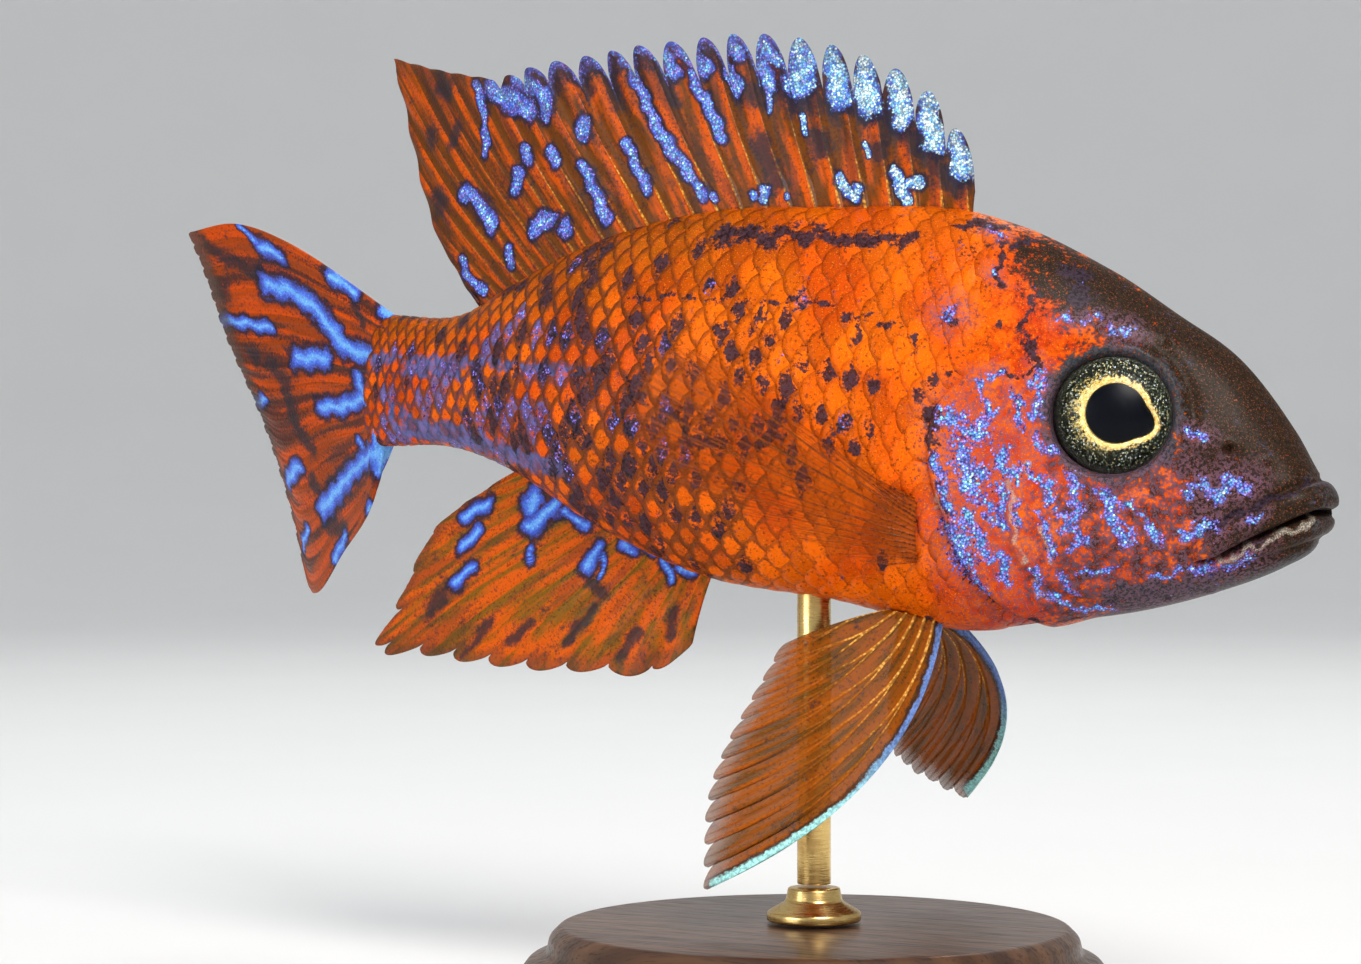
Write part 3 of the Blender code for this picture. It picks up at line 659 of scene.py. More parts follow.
def even_angles(s, count):
    """Angles and arcs up one side, evenly spread, with one line of points led along the mouth."""
    fine = np.linspace(-math.pi / 2, math.pi / 2, FINE_STEPS + 1)
    points = section(s[:, None], fine)
    length = running_total(np.linalg.norm(np.diff(points, axis=1), axis=2))
    share = shares(count)
    lead = share[int(MOUTH_SHARE * count)]
    rows, arcs = [], []
    for distance, row, place in zip(s, length, points):
        mouth = np.interp(min(distance, MOUTH_LINE[-1][0]), *np.array(MOUTH_LINE).T)
        at_mouth = np.interp(mouth, place[:, 2], row / row[-1])
        at_mouth += (lead - at_mouth) * ease(distance, MOUTH_LINE[-1][0], 24.0)
        led = np.interp(share, [0.0, lead, 1.0], [0.0, at_mouth, 1.0])
        rows.append(np.interp(led * row[-1], row, fine))
        arcs.append(led * row[-1] - row[FINE_STEPS // 2])
    return np.array(rows), np.array(arcs)


def skin_grid(s, count):
    """Points and normals of one side of the body, relief added: rows of distance by places up the side."""
    angle, arc = even_angles(np.minimum(s, BODY_END), count)
    points = section(np.minimum(s, BODY_END)[:, None], angle)
    points[..., 0] = -s[:, None]
    end = np.clip((s - BODY_END) / (SKIN_END - BODY_END), 0.0, 1.0)[:, None]
    points[..., 1] *= 1 - 0.85 * end * end
    points[..., 2] *= 1 - 0.06 * end * end
    along_s = np.gradient(points, axis=0)
    along_side = np.gradient(points, axis=1)
    along_side[:, 0] = (0.0, 1.0, 0.0)
    along_side[:, -1] = (0.0, -1.0, 0.0)
    normal = unit(np.cross(along_s, along_side))
    height = relief(s[:, None] + 0 * angle, points[..., 2])
    room = 0.8 * np.abs(points[..., 1]) / (np.abs(normal[..., 1]) + 0.05) + 0.15
    height = np.maximum(height, -room)
    return points + normal * height[..., None], arc


def both_sides(one_side, mirror=1.0):
    """A ring from the belly up the left side, over the back and down the right."""
    return np.concatenate([one_side, one_side[:, -2:0:-1] * mirror], axis=1)


def make_skin():
    s = ring_distances()
    one_side, arc = skin_grid(s, SIDE_POINTS)
    points = both_sides(one_side, np.array([1.0, -1.0, 1.0]))
    rows, columns = points.shape[:2]
    skin = mesh_object("fish_skin", to_world(points), disc_faces(rows, columns))
    column = np.arange(columns)
    bake_map(skin, stacked(s[:, None] * MAP_SCALE, column / columns).reshape(-1, 2), wraps=True)
    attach(skin, "root")
    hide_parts("head", "upper_jaw", "lower_jaw", "gill_cover_left", "gill_cover_right", "trunk",
                "tail_stalk")
    side = np.where(column < SIDE_POINTS, LEFT, RIGHT)
    return skin, *np.broadcast_arrays(s[:, None], both_sides(arc), side)


skin, skin_s, skin_a, skin_side = make_skin()
print("skin points", skin_s.size, "triangles", 2 * len(skin.data.polygons))

# %% [markdown]
# ## Places on the skin
# Scales and marks need a way to walk over the body: s along it, and an arc length a up the side
# from the widest line, which may run on over the back or under the belly to the other side.
# A table of angles, made once, turns the two into a point and its outward normal.

# %% Walk over the body
S_STEP, A_STEP = 0.5, 0.25
TABLE_S = np.arange(0.0, 97.01, S_STEP)
TABLE_A = np.arange(-40.0, 40.01, A_STEP)
TURN_STEPS = 1440


def whole_section(s, angle):
    """A cross-section that carries on past the back and the belly to the other side."""
    points = section(s, angle)
    points[..., 1] *= np.sign(np.cos(angle))
    return points


def angle_table():
    """Angles for even arcs up the side, and the arcs of the back's and the belly's middle."""
    fine = np.linspace(-math.pi, math.pi, TURN_STEPS + 1)
    points = whole_section(TABLE_S[:, None], fine)
    length = running_total(np.linalg.norm(np.diff(points, axis=1), axis=2))
    length -= length[:, [TURN_STEPS // 2]]
    table = np.array([np.interp(TABLE_A, row, fine) for row in length])
    return table, length[:, 3 * TURN_STEPS // 4], length[:, TURN_STEPS // 4]


ANGLES, TOP_ARC, LOW_ARC = angle_table()


def angle_at(s, a):
    row = np.clip(s / S_STEP, 0, len(TABLE_S) - 1.001)
    column = np.clip((a - TABLE_A[0]) / A_STEP, 0, len(TABLE_A) - 1.001)
    i, j = row.astype(int), column.astype(int)
    p, q = row - i, column - j
    return ((ANGLES[i, j] * (1 - q) + ANGLES[i, j + 1] * q) * (1 - p)
            + (ANGLES[i + 1, j] * (1 - q) + ANGLES[i + 1, j + 1] * q) * p)


def body_point(s, a):
    return whole_section(s, angle_at(s, a))


def body_normal(s, a):
    behind = body_point(s + 0.3, a) - body_point(s - 0.3, a)
    up = body_point(s, a + 0.3) - body_point(s, a - 0.3)
    return unit(np.cross(behind, up))


def bake_place(s, a, side):
    """The place of a point on the unwrapped skin: along the body, and up or down its side."""
    half = np.interp(s, TABLE_S, TOP_ARC - LOW_ARC)
    share = (a - np.interp(s, TABLE_S, LOW_ARC)) / half
    return s * MAP_SCALE, share / 2 if side > 0 else 1.0 - share / 2


print("arc over the side", round(float(np.interp(DEEPEST_AT, TABLE_S, TOP_ARC - LOW_ARC)), 1), "mm")

# %% [markdown]
# ## Scales
# Each scale is a thin curved shield. Its front is set in the skin under the scales before it and
# its round rear edge is free, so the rows overlap like roof tiles, all pointing to the tail.
# A texture would look flat at the edges, so every scale is a closed mesh: a domed top, a thin
# rim and a floor, joined into one piece for each side. The rows start at the nape, where the
# scales are small, are largest on the flank, and shrink again on the tail stalk.

# %% Scale rows
PITCH = [(18.0, 1.15), (26.0, 1.4), (33.0, 1.85), (40.0, 2.05), (60.0, 2.0), (80.0, 1.75), (96.0, 1.45)]
ROW_SHARE = 0.93
SCALES_FROM, SCALES_TO = 17.0, 95.4
MOST_ROWS = 30
NAPE_FRONT = [(-20.0, 17.0), (-12.0, 24.0), (7.0, 31.0), (9.0, 29.5), (12.0, 25.5), (16.0, 24.0),
              (24.0, 24.0)]


def scale_centres():
    """The focus of each scale on one side: its distance, arc, and pitch."""
    columns = [SCALES_FROM]
    while columns[-1] < SCALES_TO:
        columns.append(columns[-1] + float(smooth(PITCH, columns[-1])) / 2)
    found = []
    for k, s in enumerate(columns):
        pitch = float(smooth(PITCH, s))
        found.extend((s, j * pitch * ROW_SHARE, pitch) for j in range(-MOST_ROWS + k % 2, MOST_ROWS + 1, 2))
    s, a, pitch = np.array(found).T
    top, low = np.interp(s, TABLE_S, TOP_ARC), np.interp(s, TABLE_S, LOW_ARC)
    z = body_point(s, a)[:, 2]
    gill, side = from_line(s, z, curve(GILL_EDGE))
    covered = (z < 8.0) & (gill * side < 0.15)
    keep = (a < top + 0.1) & (a > low - 0.1) & ~covered & (s > np.interp(z, *np.array(NAPE_FRONT).T))
    return s[keep], a[keep], pitch[keep]


# %% Scale shields
SHIELD_ROWS, SHIELD_COLUMNS = 6, 7
SHIELD_THICKNESS = 0.09
SHIELD_LIFT = 0.20
SHIELD_SINK = 0.16
PATCH = 0.003


def rim_index(rows, columns):
    """The points round the edge of a grid, in order."""
    index = np.arange(rows * columns).reshape(rows, columns)
    return np.concatenate([index[0], index[1:, -1], index[-1, -2::-1], index[-2:0:-1, 0]])


def shield_faces(count, rim):
    """Faces of many shields: the domed top, the rim and the floor."""
    size = SHIELD_ROWS * SHIELD_COLUMNS + len(rim)
    under = np.arange(SHIELD_ROWS * SHIELD_COLUMNS, size)
    sides = stacked(np.roll(rim, -1), rim, under, np.roll(under, -1))
    quads = np.concatenate([grid_faces(SHIELD_ROWS, SHIELD_COLUMNS), sides])
    shift = np.arange(count)[:, None, None] * size
    return [(quads + shift).reshape(-1, 4), under[::-1] + shift[:, 0]]


def make_scales(name, side, s, a, pitch):
    """Closed curved shields over one side, joined in one piece, with the values that the finish reads."""
    count = len(s)
    s, a, pitch = s[:, None, None], a[:, None, None], pitch[:, None, None]
    u = shares(SHIELD_ROWS)[:, None] ** 0.85
    v = np.linspace(-1.0, 1.0, SHIELD_COLUMNS)
    size = pitch * rng.uniform(0.96, 1.05, (count, 1, 1))
    lift = SHIELD_LIFT * (0.62 + 0.38 * ease(s, 38.0, 60.0)) * (0.65 + 0.35 * ease(a, -13.0, -6.0))
    round_edge = 0.80 - 0.62 * (1 - np.sqrt(np.maximum(1 - 0.92 * v * v, 0.0)))
    behind = size * (-0.95 + u * (round_edge + 0.95))
    up = size * v * (0.72 + 0.28 * np.sin(math.pi * np.minimum(u * 1.15, 1.0) / 2)) * 0.98
    slope = (smooth(PITCH, s + 0.5) - smooth(PITCH, s - 0.5)) * a / pitch
    at_s, at_a = np.broadcast_arrays(s + behind, a + up + slope * behind)
    normal = body_normal(at_s, at_a)
    tilt = rng.normal(0.0, 0.012, (count, 1, 1)) * v
    dome = 0.07 * size * (1 - v * v) * np.sin(math.pi * u * 0.75)
    height = -SCALE_DEPTH - SHIELD_SINK + (SHIELD_SINK + lift) * u ** 1.3 + dome + tilt
    edge_drop = 0.15 * size * np.maximum(u - 0.8, 0.0)
    top = (body_point(at_s, at_a) + normal * (height - edge_drop)[..., None]).reshape(count, -1, 3)
    rim = rim_index(SHIELD_ROWS, SHIELD_COLUMNS)
    under = top[:, rim] - normal.reshape(count, -1, 3)[:, rim] * SHIELD_THICKNESS
    points = np.concatenate([top, under], axis=1)
    points[..., 1] *= side
    tone = np.repeat(rng.uniform(0.0, 1.0, (count, 1)), points.shape[1], axis=1)
    faces = flipped(shield_faces(count, rim), side < 0)
    placed = mesh_object(name, to_world(points), faces, {"tone": tone})

    def spread(grid):
        flat = np.broadcast_to(grid, at_s.shape).reshape(count, -1)
        return np.concatenate([flat, flat[:, rim]], axis=1)

    map_u, map_v = bake_place(s, a, side)
    places = stacked(spread(map_u + PATCH * (u - 0.5)), spread(map_v + PATCH / 2 * v))
    bake_map(placed, places.reshape(-1, 2))
    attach(placed, "root")
    return placed, {"s": spread(at_s), "a": spread(at_a), "u": spread(u), "v": spread(v)}


scale_s, scale_a, scale_pitch = scale_centres()
scales = {}
for side, word in ((RIGHT, "right"), (LEFT, "left")):
    scales[side] = make_scales("scales_" + word, side, scale_s, scale_a, scale_pitch)
    triangles = sum(len(face.vertices) - 2 for face in scales[side][0].data.polygons)
    print("scales", word, len(scale_s), "triangles", triangles)

# %% [markdown]
# ## Fins
# A fin is a clear skin stretched over rays. Spines are single and stiff; soft rays are jointed and
# fork towards the edge. Each fin here is one closed plate: a grid from root to edge, thick at the
# root, with a ridge wherever a ray runs. Modelling the ridges makes the light catch every ray, and
# the same values tell the finish where ray and clear skin are.

# %% Ray pattern and plate
def rays_at(across, reach, unit_mm, forks, width):
    """How near each point is to a ray. Rays stand at whole numbers and fork at the given reaches."""
    offset = across - np.round(across)
    branches, spread = [0 * offset], 0.25
    for at in forks:
        opened = spread * ease(reach, at, at + 0.4)
        branches = [branch + way * opened for branch in branches for way in (-1, 1)]
        spread /= 2
    nearest = np.min([np.abs(offset - branch) for branch in branches], axis=0)
    return np.exp(-(nearest * unit_mm / (width * (1.15 - 0.6 * reach))) ** 2)


def make_fin(name, node, grid, across, forks=(), root=1.2, membrane=0.24, ridge=0.15, ray_width=0.14,
             flip=False):
    """A closed plate on straight-fish points, rows from root to edge, with its values and bake map.
    Its thickness at the root, between the rays and in the ridges is in millimetres."""
    rows, columns = grid.shape[:2]
    reach, across = np.broadcast_arrays(shares(rows)[:, None], across)
    along_edge = np.gradient(grid, axis=1)
    normal = unit(np.cross(np.gradient(grid, axis=0), along_edge))
    unit_mm = np.linalg.norm(along_edge, axis=2) / np.maximum(np.abs(np.gradient(across, axis=1)), 1e-6)
    ray = rays_at(across, reach, unit_mm, forks, ray_width)
    from_side = np.minimum(np.arange(columns), np.arange(columns)[::-1]) / columns
    half = (root - membrane) / 2 * (1 - ease(reach, 0.0, 0.25)) * ease(from_side, 0.0, 0.14)
    half += membrane / 2 * (1 - 0.4 * reach)
    half += ridge * ray * (1 - 0.65 * reach)
    sway = 0.035 * np.sin(2 * math.pi * across) * reach * unit_mm.mean()
    middle = grid + normal * sway[..., None]
    points = np.stack([middle + normal * half[..., None], middle - normal * half[..., None]])
    count = rows * columns
    rim = rim_index(rows, columns)
    front = grid_faces(rows, columns)
    edge = stacked(rim, np.roll(rim, -1), np.roll(rim, -1) + count, rim + count)
    faces = flipped([front[:, ::-1], front + count, edge], flip)
    edge_mm = np.linalg.norm(grid - grid[-1:], axis=2)
    values = {"ray": ray, "reach": reach, "across": across, "edge": edge_mm}
    fin = mesh_object(name, to_world(points), faces, both_faces(values))
    u = np.linspace(0.0, 0.98 * HALF_MAP, columns)
    places = stacked(np.stack([u, u + HALF_MAP])[:, None], reach * 0.98)
    bake_map(fin, places.reshape(-1, 2), rim_faces=len(edge))
    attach(fin, "root")
    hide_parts(node)
    print(name, rows, "x", columns, "triangles", 2 * sum(len(group) for group in faces))
    return fin, grid


def both_faces(values):
    """Values of a plate's grid, repeated for its front and its back."""
    return {key: np.tile(value.ravel(), 2) for key, value in values.items()}


def stretched(roots, tips, rows, bow):
    """Rows of points from roots to tips, bowed backwards in the middle by a share of their length."""
    t = shares(rows)[:, None, None]
    grid = roots + (tips - roots) * t
    grid[..., 0] -= bow * np.sin(math.pi * t[..., 0]) * np.linalg.norm(tips - roots, axis=1)
    return grid


def notches(share, rays):
    """0 in the middle of each scallop of an edge, and 1 in the notch between two."""
    return 1 - np.abs(np.sin(math.pi * share * rays)) ** 0.5


FIN_ROOT_SINK = 0.7
FIN_BOW = 0.02
fins = {}

# %% [markdown]
# ## The dorsal fin
# Sixteen spines hold the front of it, each with a leaf-shaped flap of skin beyond its tip, and
# behind them longer soft rays sweep back to a point. Its edge is drawn as one crest line less the
# notch between two flaps.

# %% Dorsal fin
DORSAL_BASE = (33.8, 70.0, 82.6)
DORSAL_SPINES = 16
DORSAL_TIPS = (34.3, 84.6)
DORSAL_CREST = [(34.3, 26.6), (38.8, 31.4), (45.3, 34.2), (54.7, 35.3), (64.9, 33.9), (77.9, 31.4),
                (84.6, 29.8)]
DORSAL_NOTCH = [(34.3, 3.6), (50.0, 4.4), (70.0, 3.6), (84.6, 1.6)]
DORSAL_SOFT_EDGE = [(84.6, 29.8), (94.0, 30.6), (101.6, 31.6)]
DORSAL_REAR_EDGE = [(101.6, 31.6), (90.3, 14.5), (83.8, 9.4)]
DORSAL_FLAP_STEPS = 24
DORSAL_SOFT_RAYS = 10
DORSAL_ROWS = 52


def dorsal_outline():
    """Roots, tips and ray numbers along the dorsal fin."""
    steps = DORSAL_SPINES * DORSAL_FLAP_STEPS
    share = np.arange(steps) / steps
    root_s = DORSAL_BASE[0] + (DORSAL_BASE[1] - DORSAL_BASE[0]) * share
    tip_s = DORSAL_TIPS[0] + (DORSAL_TIPS[1] - DORSAL_TIPS[0]) * share
    place = (share * DORSAL_SPINES) % 1.0
    arch = np.sin(math.pi * place ** 0.72) ** 0.55
    roots = stacked(-root_s, 0.0, smooth(BACK, root_s) - FIN_ROOT_SINK)
    tips = stacked(-tip_s, 0.0, smooth(DORSAL_CREST, tip_s))
    length = np.linalg.norm(tips - roots, axis=1)
    tips = roots + (tips - roots) * (1 - smooth(DORSAL_NOTCH, tip_s) * (1 - arch) / length)[:, None]
    soft = np.concatenate([curve(DORSAL_SOFT_EDGE, 56)[:-1], curve(DORSAL_REAR_EDGE, 62)])
    soft_share = shares(len(soft))
    soft_s = DORSAL_BASE[1] + (DORSAL_BASE[2] - DORSAL_BASE[1]) * soft_share
    ripple = 0.5 * np.abs(np.sin(math.pi * soft_share * DORSAL_SOFT_RAYS)) - 0.3
    soft_tips = stacked(-soft[:, 0] - 0.3 * ripple, 0.0, soft[:, 1] + 0.3 * ripple)
    soft_roots = stacked(-soft_s, 0.0, smooth(BACK, soft_s) - FIN_ROOT_SINK)
    across = np.concatenate([share * DORSAL_SPINES - 0.16, DORSAL_SPINES + soft_share * DORSAL_SOFT_RAYS])
    return np.concatenate([roots, soft_roots]), np.concatenate([tips, soft_tips]), across


def dorsal_fin():
    roots, tips, across = dorsal_outline()
    grid = stretched(roots, tips, DORSAL_ROWS, FIN_BOW)
    soft = ease(across, DORSAL_SPINES - 0.5, DORSAL_SPINES + 0.5)
    lean = 0.35 * np.sin(across * 1.7) * (1 - soft) + 1.2 * soft * np.sin((across - DORSAL_SPINES) * 0.35)
    grid[..., 1] += lean * shares(DORSAL_ROWS)[:, None] ** 2
    return make_fin("dorsal_fin_skin", "dorsal_fin", grid, across, root=1.3, membrane=0.26, ray_width=0.17)


fins["dorsal"] = dorsal_fin()

# %% [markdown]
# ## The anal and tail fins
# The anal fin hangs below as a smaller match of the rear dorsal, with three spines at its front.
# The tail fin fans out from the stalk, its rays fork twice, and it twists as the fish turns, so
# that its lower lobe swings towards us.

# %% Anal fin
ANAL_BASE = (54.2, 75.6)
ANAL_EDGE = [(55.6, -20.3), (59.8, -23.2), (64.5, -23.6), (71.2, -24.4), (79.0, -24.9), (87.0, -25.2),
             (93.6, -25.7), (90.4, -20.0), (86.5, -13.2), (79.2, -8.0)]
ANAL_RAYS = 13
ANAL_ROWS, ANAL_COLUMNS = 46, 261


def anal_fin():
    share = shares(ANAL_COLUMNS)
    root_s = ANAL_BASE[0] + (ANAL_BASE[1] - ANAL_BASE[0]) * share
    roots = stacked(-root_s, 0.0, smooth(BELLY, root_s) + FIN_ROOT_SINK)
    edge = curve(ANAL_EDGE, ANAL_COLUMNS)
    tips = stacked(-edge[:, 0], 0.0, edge[:, 1])
    notch = notches(share, ANAL_RAYS) * np.where(share < 0.72, 0.09, 0.03)
    tips += (roots - tips) * notch[:, None]
    grid = stretched(roots, tips, ANAL_ROWS, FIN_BOW)
    return make_fin("anal_fin_skin", "anal_fin", grid, share * ANAL_RAYS + 0.5, (0.45,), membrane=0.26,
                    ridge=0.13)


# %% Tail fin
TAIL_UPPER = [(95.3, 6.6), (110.6, 12.9), (117.2, 14.0), (123.0, 12.7)]
TAIL_REAR = [(123.0, 12.7), (122.4, 4.0), (119.4, -5.5), (120.8, -15.0), (121.9, -20.4)]
TAIL_LOWER = [(95.3, -6.6), (97.6, -11.6), (106.6, -17.6), (116.6, -23.0), (121.9, -20.4)]
TAIL_TWIST = (math.radians(22.0), math.radians(-14.0))
TAIL_RAYS = 15
TAIL_ROWS, TAIL_COLUMNS = 64, 331


def tail_fin():
    share, reach = shares(TAIL_COLUMNS), shares(TAIL_ROWS)[:, None]
    upper, lower = curve(TAIL_UPPER, TAIL_ROWS)[:, None], curve(TAIL_LOWER, TAIL_ROWS)[:, None]
    edge = curve(TAIL_REAR[::-1], TAIL_COLUMNS)
    top, bottom = np.array(TAIL_UPPER[-1]), np.array(TAIL_LOWER[-1])
    chord = bottom + (top - bottom) * share[:, None]
    place = lower + (upper - lower) * share[:, None] + (edge - chord) * reach[..., None] ** 2
    s = np.maximum(place[..., 0], BODY_END - 0.6)
    s -= 0.28 * notches(share, TAIL_RAYS * 2) * reach ** 6
    twist = TAIL_TWIST[0] + (TAIL_TWIST[1] - TAIL_TWIST[0]) * share
    y = np.maximum(s - BODY_END, 0.0) * np.tan(twist)
    y += 0.5 * np.sin(share * 9.0) * reach ** 1.5
    return make_fin("tail_fin_skin", "tail_fin", stacked(-s, y, place[..., 1]), share * TAIL_RAYS + 0.5,
                    (0.22, 0.55), root=2.3, flip=True)


fins["anal"] = anal_fin()
fins["tail"] = tail_fin()

# %% [markdown]
# ## The paired fins
# Pelvic fins are swung like keels under the breast: one spine and five soft rays that fork
# again and again and run out to a long point. The pectoral fins are fans so clear that the flank
# shows through, held back along the body, and their fine rays are all one sees of them.

# %% Pelvic and pectoral fins
PELVIC_BASE = [(32.2, -15.3, 2.4), (37.0, -14.7, 3.8)]
NEAR_LEAD = [(31.6, -28.6, 6.6), (48.3, -40.2, 11.0)]
NEAR_REAR = [(41.5, -15.6, 5.2), (45.2, -18.0, 6.6)]
NEAR_EDGE = [(48.3, -40.2, 11.0), (49.0, -30.5, 9.6), (45.2, -18.0, 6.6)]
FAR_LEAD = [(23.6, -22.0, 9.5), (32.2, -33.0, 20.0)]
FAR_REAR = [(38.5, -17.5, 8.5), (40.2, -21.5, 15.0)]
FAR_EDGE = [(32.2, -33.0, 20.0), (40.0, -29.5, 20.5), (40.2, -21.5, 15.0)]
PELVIC_RAYS = 6
PELVIC_ROWS, PELVIC_COLUMNS = 60, 181
PECTORAL_BASE = [(35.4, -3.8), (35.0, -9.4)]
PECTORAL_EDGE = [(40.0, -1.6), (49.0, 4.2), (55.8, 6.8), (58.9, 2.0), (57.2, -2.6), (52.0, -5.8),
                 (44.5, -8.2), (38.0, -10.0)]
PECTORAL_RAYS = 14
PECTORAL_ROWS, PECTORAL_COLUMNS = 48, 241
PECTORAL_LIFT = (0.5, 0.9)
PECTORAL_RISE = 0.33


def pelvic_fin(word, side, lead, rear, edge):
    share = shares(PELVIC_COLUMNS)[:, None]
    t = shares(PELVIC_ROWS)[:, None, None]
    base, lead, rear = np.array(PELVIC_BASE), np.array(lead), np.array(rear)
    root = base[0] + (base[1] - base[0]) * share + np.array([0.0, FIN_ROOT_SINK, 0.0])
    elbow = lead[0] + (rear[0] - lead[0]) * share
    tip = curve(edge, PELVIC_COLUMNS)
    tip += (root - tip) * 0.05 * notches(share, PELVIC_RAYS * 2)
    place = root * (1 - t) ** 2 + elbow * 2 * t * (1 - t) + tip * t * t
    grid = stacked(-place[..., 0], side * place[..., 2], place[..., 1])
    return make_fin("pelvic_fin_skin_" + word, "pelvic_fin_" + word, grid, share[:, 0] * PELVIC_RAYS,
                    (0.2, 0.45, 0.7), root=1.1, flip=side < 0)


def pectoral_fin(word, side, spread):
    share = shares(PECTORAL_COLUMNS)[:, None]
    t = shares(PECTORAL_ROWS)[:, None]
    base = np.array(PECTORAL_BASE)
    root = base[0] + (base[1] - base[0]) * share - np.array([0.8, 0.0])
    tip = curve(PECTORAL_EDGE, PECTORAL_COLUMNS)
    place = root + (tip - root) * t[..., None]
    s, z = place[..., 0], place[..., 1]
    lift = PECTORAL_LIFT[0] * ease(t, 0.0, 0.1) + PECTORAL_LIFT[1] * np.minimum(t / PECTORAL_RISE, 1.0)
    y = flank(s, z) - 0.3 + lift + spread * np.maximum(s - PECTORAL_BASE[1][0], 0.0)
    return make_fin("pectoral_fin_skin_" + word, "pectoral_fin_" + word, stacked(-s, side * y, z),
                    share[:, 0] * PECTORAL_RAYS, (0.5,), root=0.8, membrane=0.14, ridge=0.07,
                    ray_width=0.09, flip=side < 0)


fins["pelvic_right"] = pelvic_fin("right", RIGHT, NEAR_LEAD, NEAR_REAR, NEAR_EDGE)
fins["pelvic_left"] = pelvic_fin("left", LEFT, FAR_LEAD, FAR_REAR, FAR_EDGE)
fins["pectoral_right"] = pectoral_fin("right", RIGHT, 0.035)
fins["pectoral_left"] = pectoral_fin("left", LEFT, 0.16)

# %% [markdown]
# ## Eyes
# A fish's eye is a flattened ball. Its clear front stands just proud of the skin, and the round
# lens bulges through a pupil drawn to a point at the front. The parts are made as they are: a
# dished iris with the lens in it, inside a clear shell that bends the light.

# %% Eyes
EYE_DEPTH = 3.4
EYE_OUT = 1.25
EYE_TOE_IN = math.radians(9.0)
EYE_UP = math.radians(6.0)
PUPIL_RADIUS = 2.5
PUPIL_POINT = 0.85
PUPIL_POINT_AT = math.radians(-14.0)
EYE_SIDES, SHELL_RINGS, IRIS_RINGS = 96, 60, 70


def eye_place(forward, up, out, side):
    """Eye coordinates in millimetres to the straight fish, turned a little forward and up."""
    s, z = EYE
    ahead = forward * math.cos(EYE_TOE_IN) + out * math.sin(EYE_TOE_IN)
    out = out * math.cos(EYE_TOE_IN) - forward * math.sin(EYE_TOE_IN)
    rise = up * math.cos(EYE_UP) + out * math.sin(EYE_UP)
    out = out * math.cos(EYE_UP) - up * math.sin(EYE_UP)
    centre = flank(np.array(s), np.array(z)) + EYE_OUT - EYE_DEPTH
    return stacked(-s + ahead, side * (centre + out), z + rise)


def eye_shell(word, side):
    """The clear front: a flattened ball that the socket hides but for its front."""
    turn = full_turn(EYE_SIDES)
    polar = np.linspace(0.02, math.pi - 0.02, SHELL_RINGS)[:, None]
    reach = EYE_RADIUS * np.sin(polar)
    shell = eye_place(reach * np.cos(turn), reach * np.sin(turn), EYE_DEPTH * np.cos(polar), side)
    made = mesh_object("eye_clear_" + word, to_world(shell),
                       flipped(disc_faces(SHELL_RINGS, EYE_SIDES), side < 0))
    made.visible_shadow = False
    return made


def eye_iris(word, side):
    """A dished disc with the lens bulging through its pupil, closed by a bowl behind."""
    turn = full_turn(EYE_SIDES)
    radius = np.concatenate([np.linspace(0.02, 1.0, IRIS_RINGS), [0.97, 0.6, 0.05]])[:, None]
    radius = radius * (EYE_RADIUS - 0.12)
    point = PUPIL_POINT * np.exp(-((np.angle(np.exp(1j * (turn - PUPIL_POINT_AT)))) / 0.42) ** 2)
    pupil = radius - PUPIL_RADIUS - point
    dome = np.sqrt(np.maximum(1 - (radius / EYE_RADIUS) ** 2, 0.0))
    out = (EYE_DEPTH - 0.85) * dome - 0.18 * ease(pupil, 0.5, -0.1)
    lens = 1.15 * np.sqrt(np.maximum(1 - (radius / (PUPIL_RADIUS + 0.25)) ** 2, 0.0)) - 0.35
    out = np.where(pupil < 0, out + np.maximum(lens, -0.25), out)
    out[IRIS_RINGS:] = -EYE_DEPTH * 0.8 * dome[IRIS_RINGS:]
    dish = eye_place(radius * np.cos(turn), radius * np.sin(turn), out, side)
    values = {"pupil": pupil, "radius": np.broadcast_to(radius / EYE_RADIUS, pupil.shape),
              "turn": np.broadcast_to(np.cos(turn), pupil.shape)}
    return mesh_object("eye_iris_" + word, to_world(dish),
                       flipped(disc_faces(len(radius), EYE_SIDES), side < 0), values)


def eye_parts(word, side):
    clear, iris = eye_shell(word, side), eye_iris(word, side)
    for piece in (clear, iris):
        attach(piece, "root")
    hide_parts("eye_" + word)
    return clear, iris


eyes = {side: eye_parts(word, side) for side, word in ((RIGHT, "right"), (LEFT, "left"))}
print("eye", 2 * EYE_RADIUS, "mm across, pupil", 2 * PUPIL_RADIUS, "mm")

# %% [markdown]
# ## The stand
# A turned hardwood foot, a brass collar and one brass rod that enters the belly. All three are
# profiles spun round an axis. The foot's edge is a small ogee, and each corner is eased, because
# a lathe and sandpaper never leave one sharp.

# %% Turned stand
BASE_RADIUS, BASE_HEIGHT = 26.0, 7.0
BASE_PROFILE = [(-0.5, 0.0), (0.0, 0.07), (0.0, 0.45), (-0.7, 0.58), (-2.2, 0.66), (-2.5, 0.86), (-3.5, 1.0)]
COLLAR_RADIUS, COLLAR_HEIGHT = 4.2, 3.0
COLLAR_PROFILE = [(1.0, 0.0), (1.0, 0.27), (0.6, 0.6), (0.55, 1.0)]
ROD_RADIUS = 1.5
AXIS_GAP = 0.05
CORNER_STEPS = 4


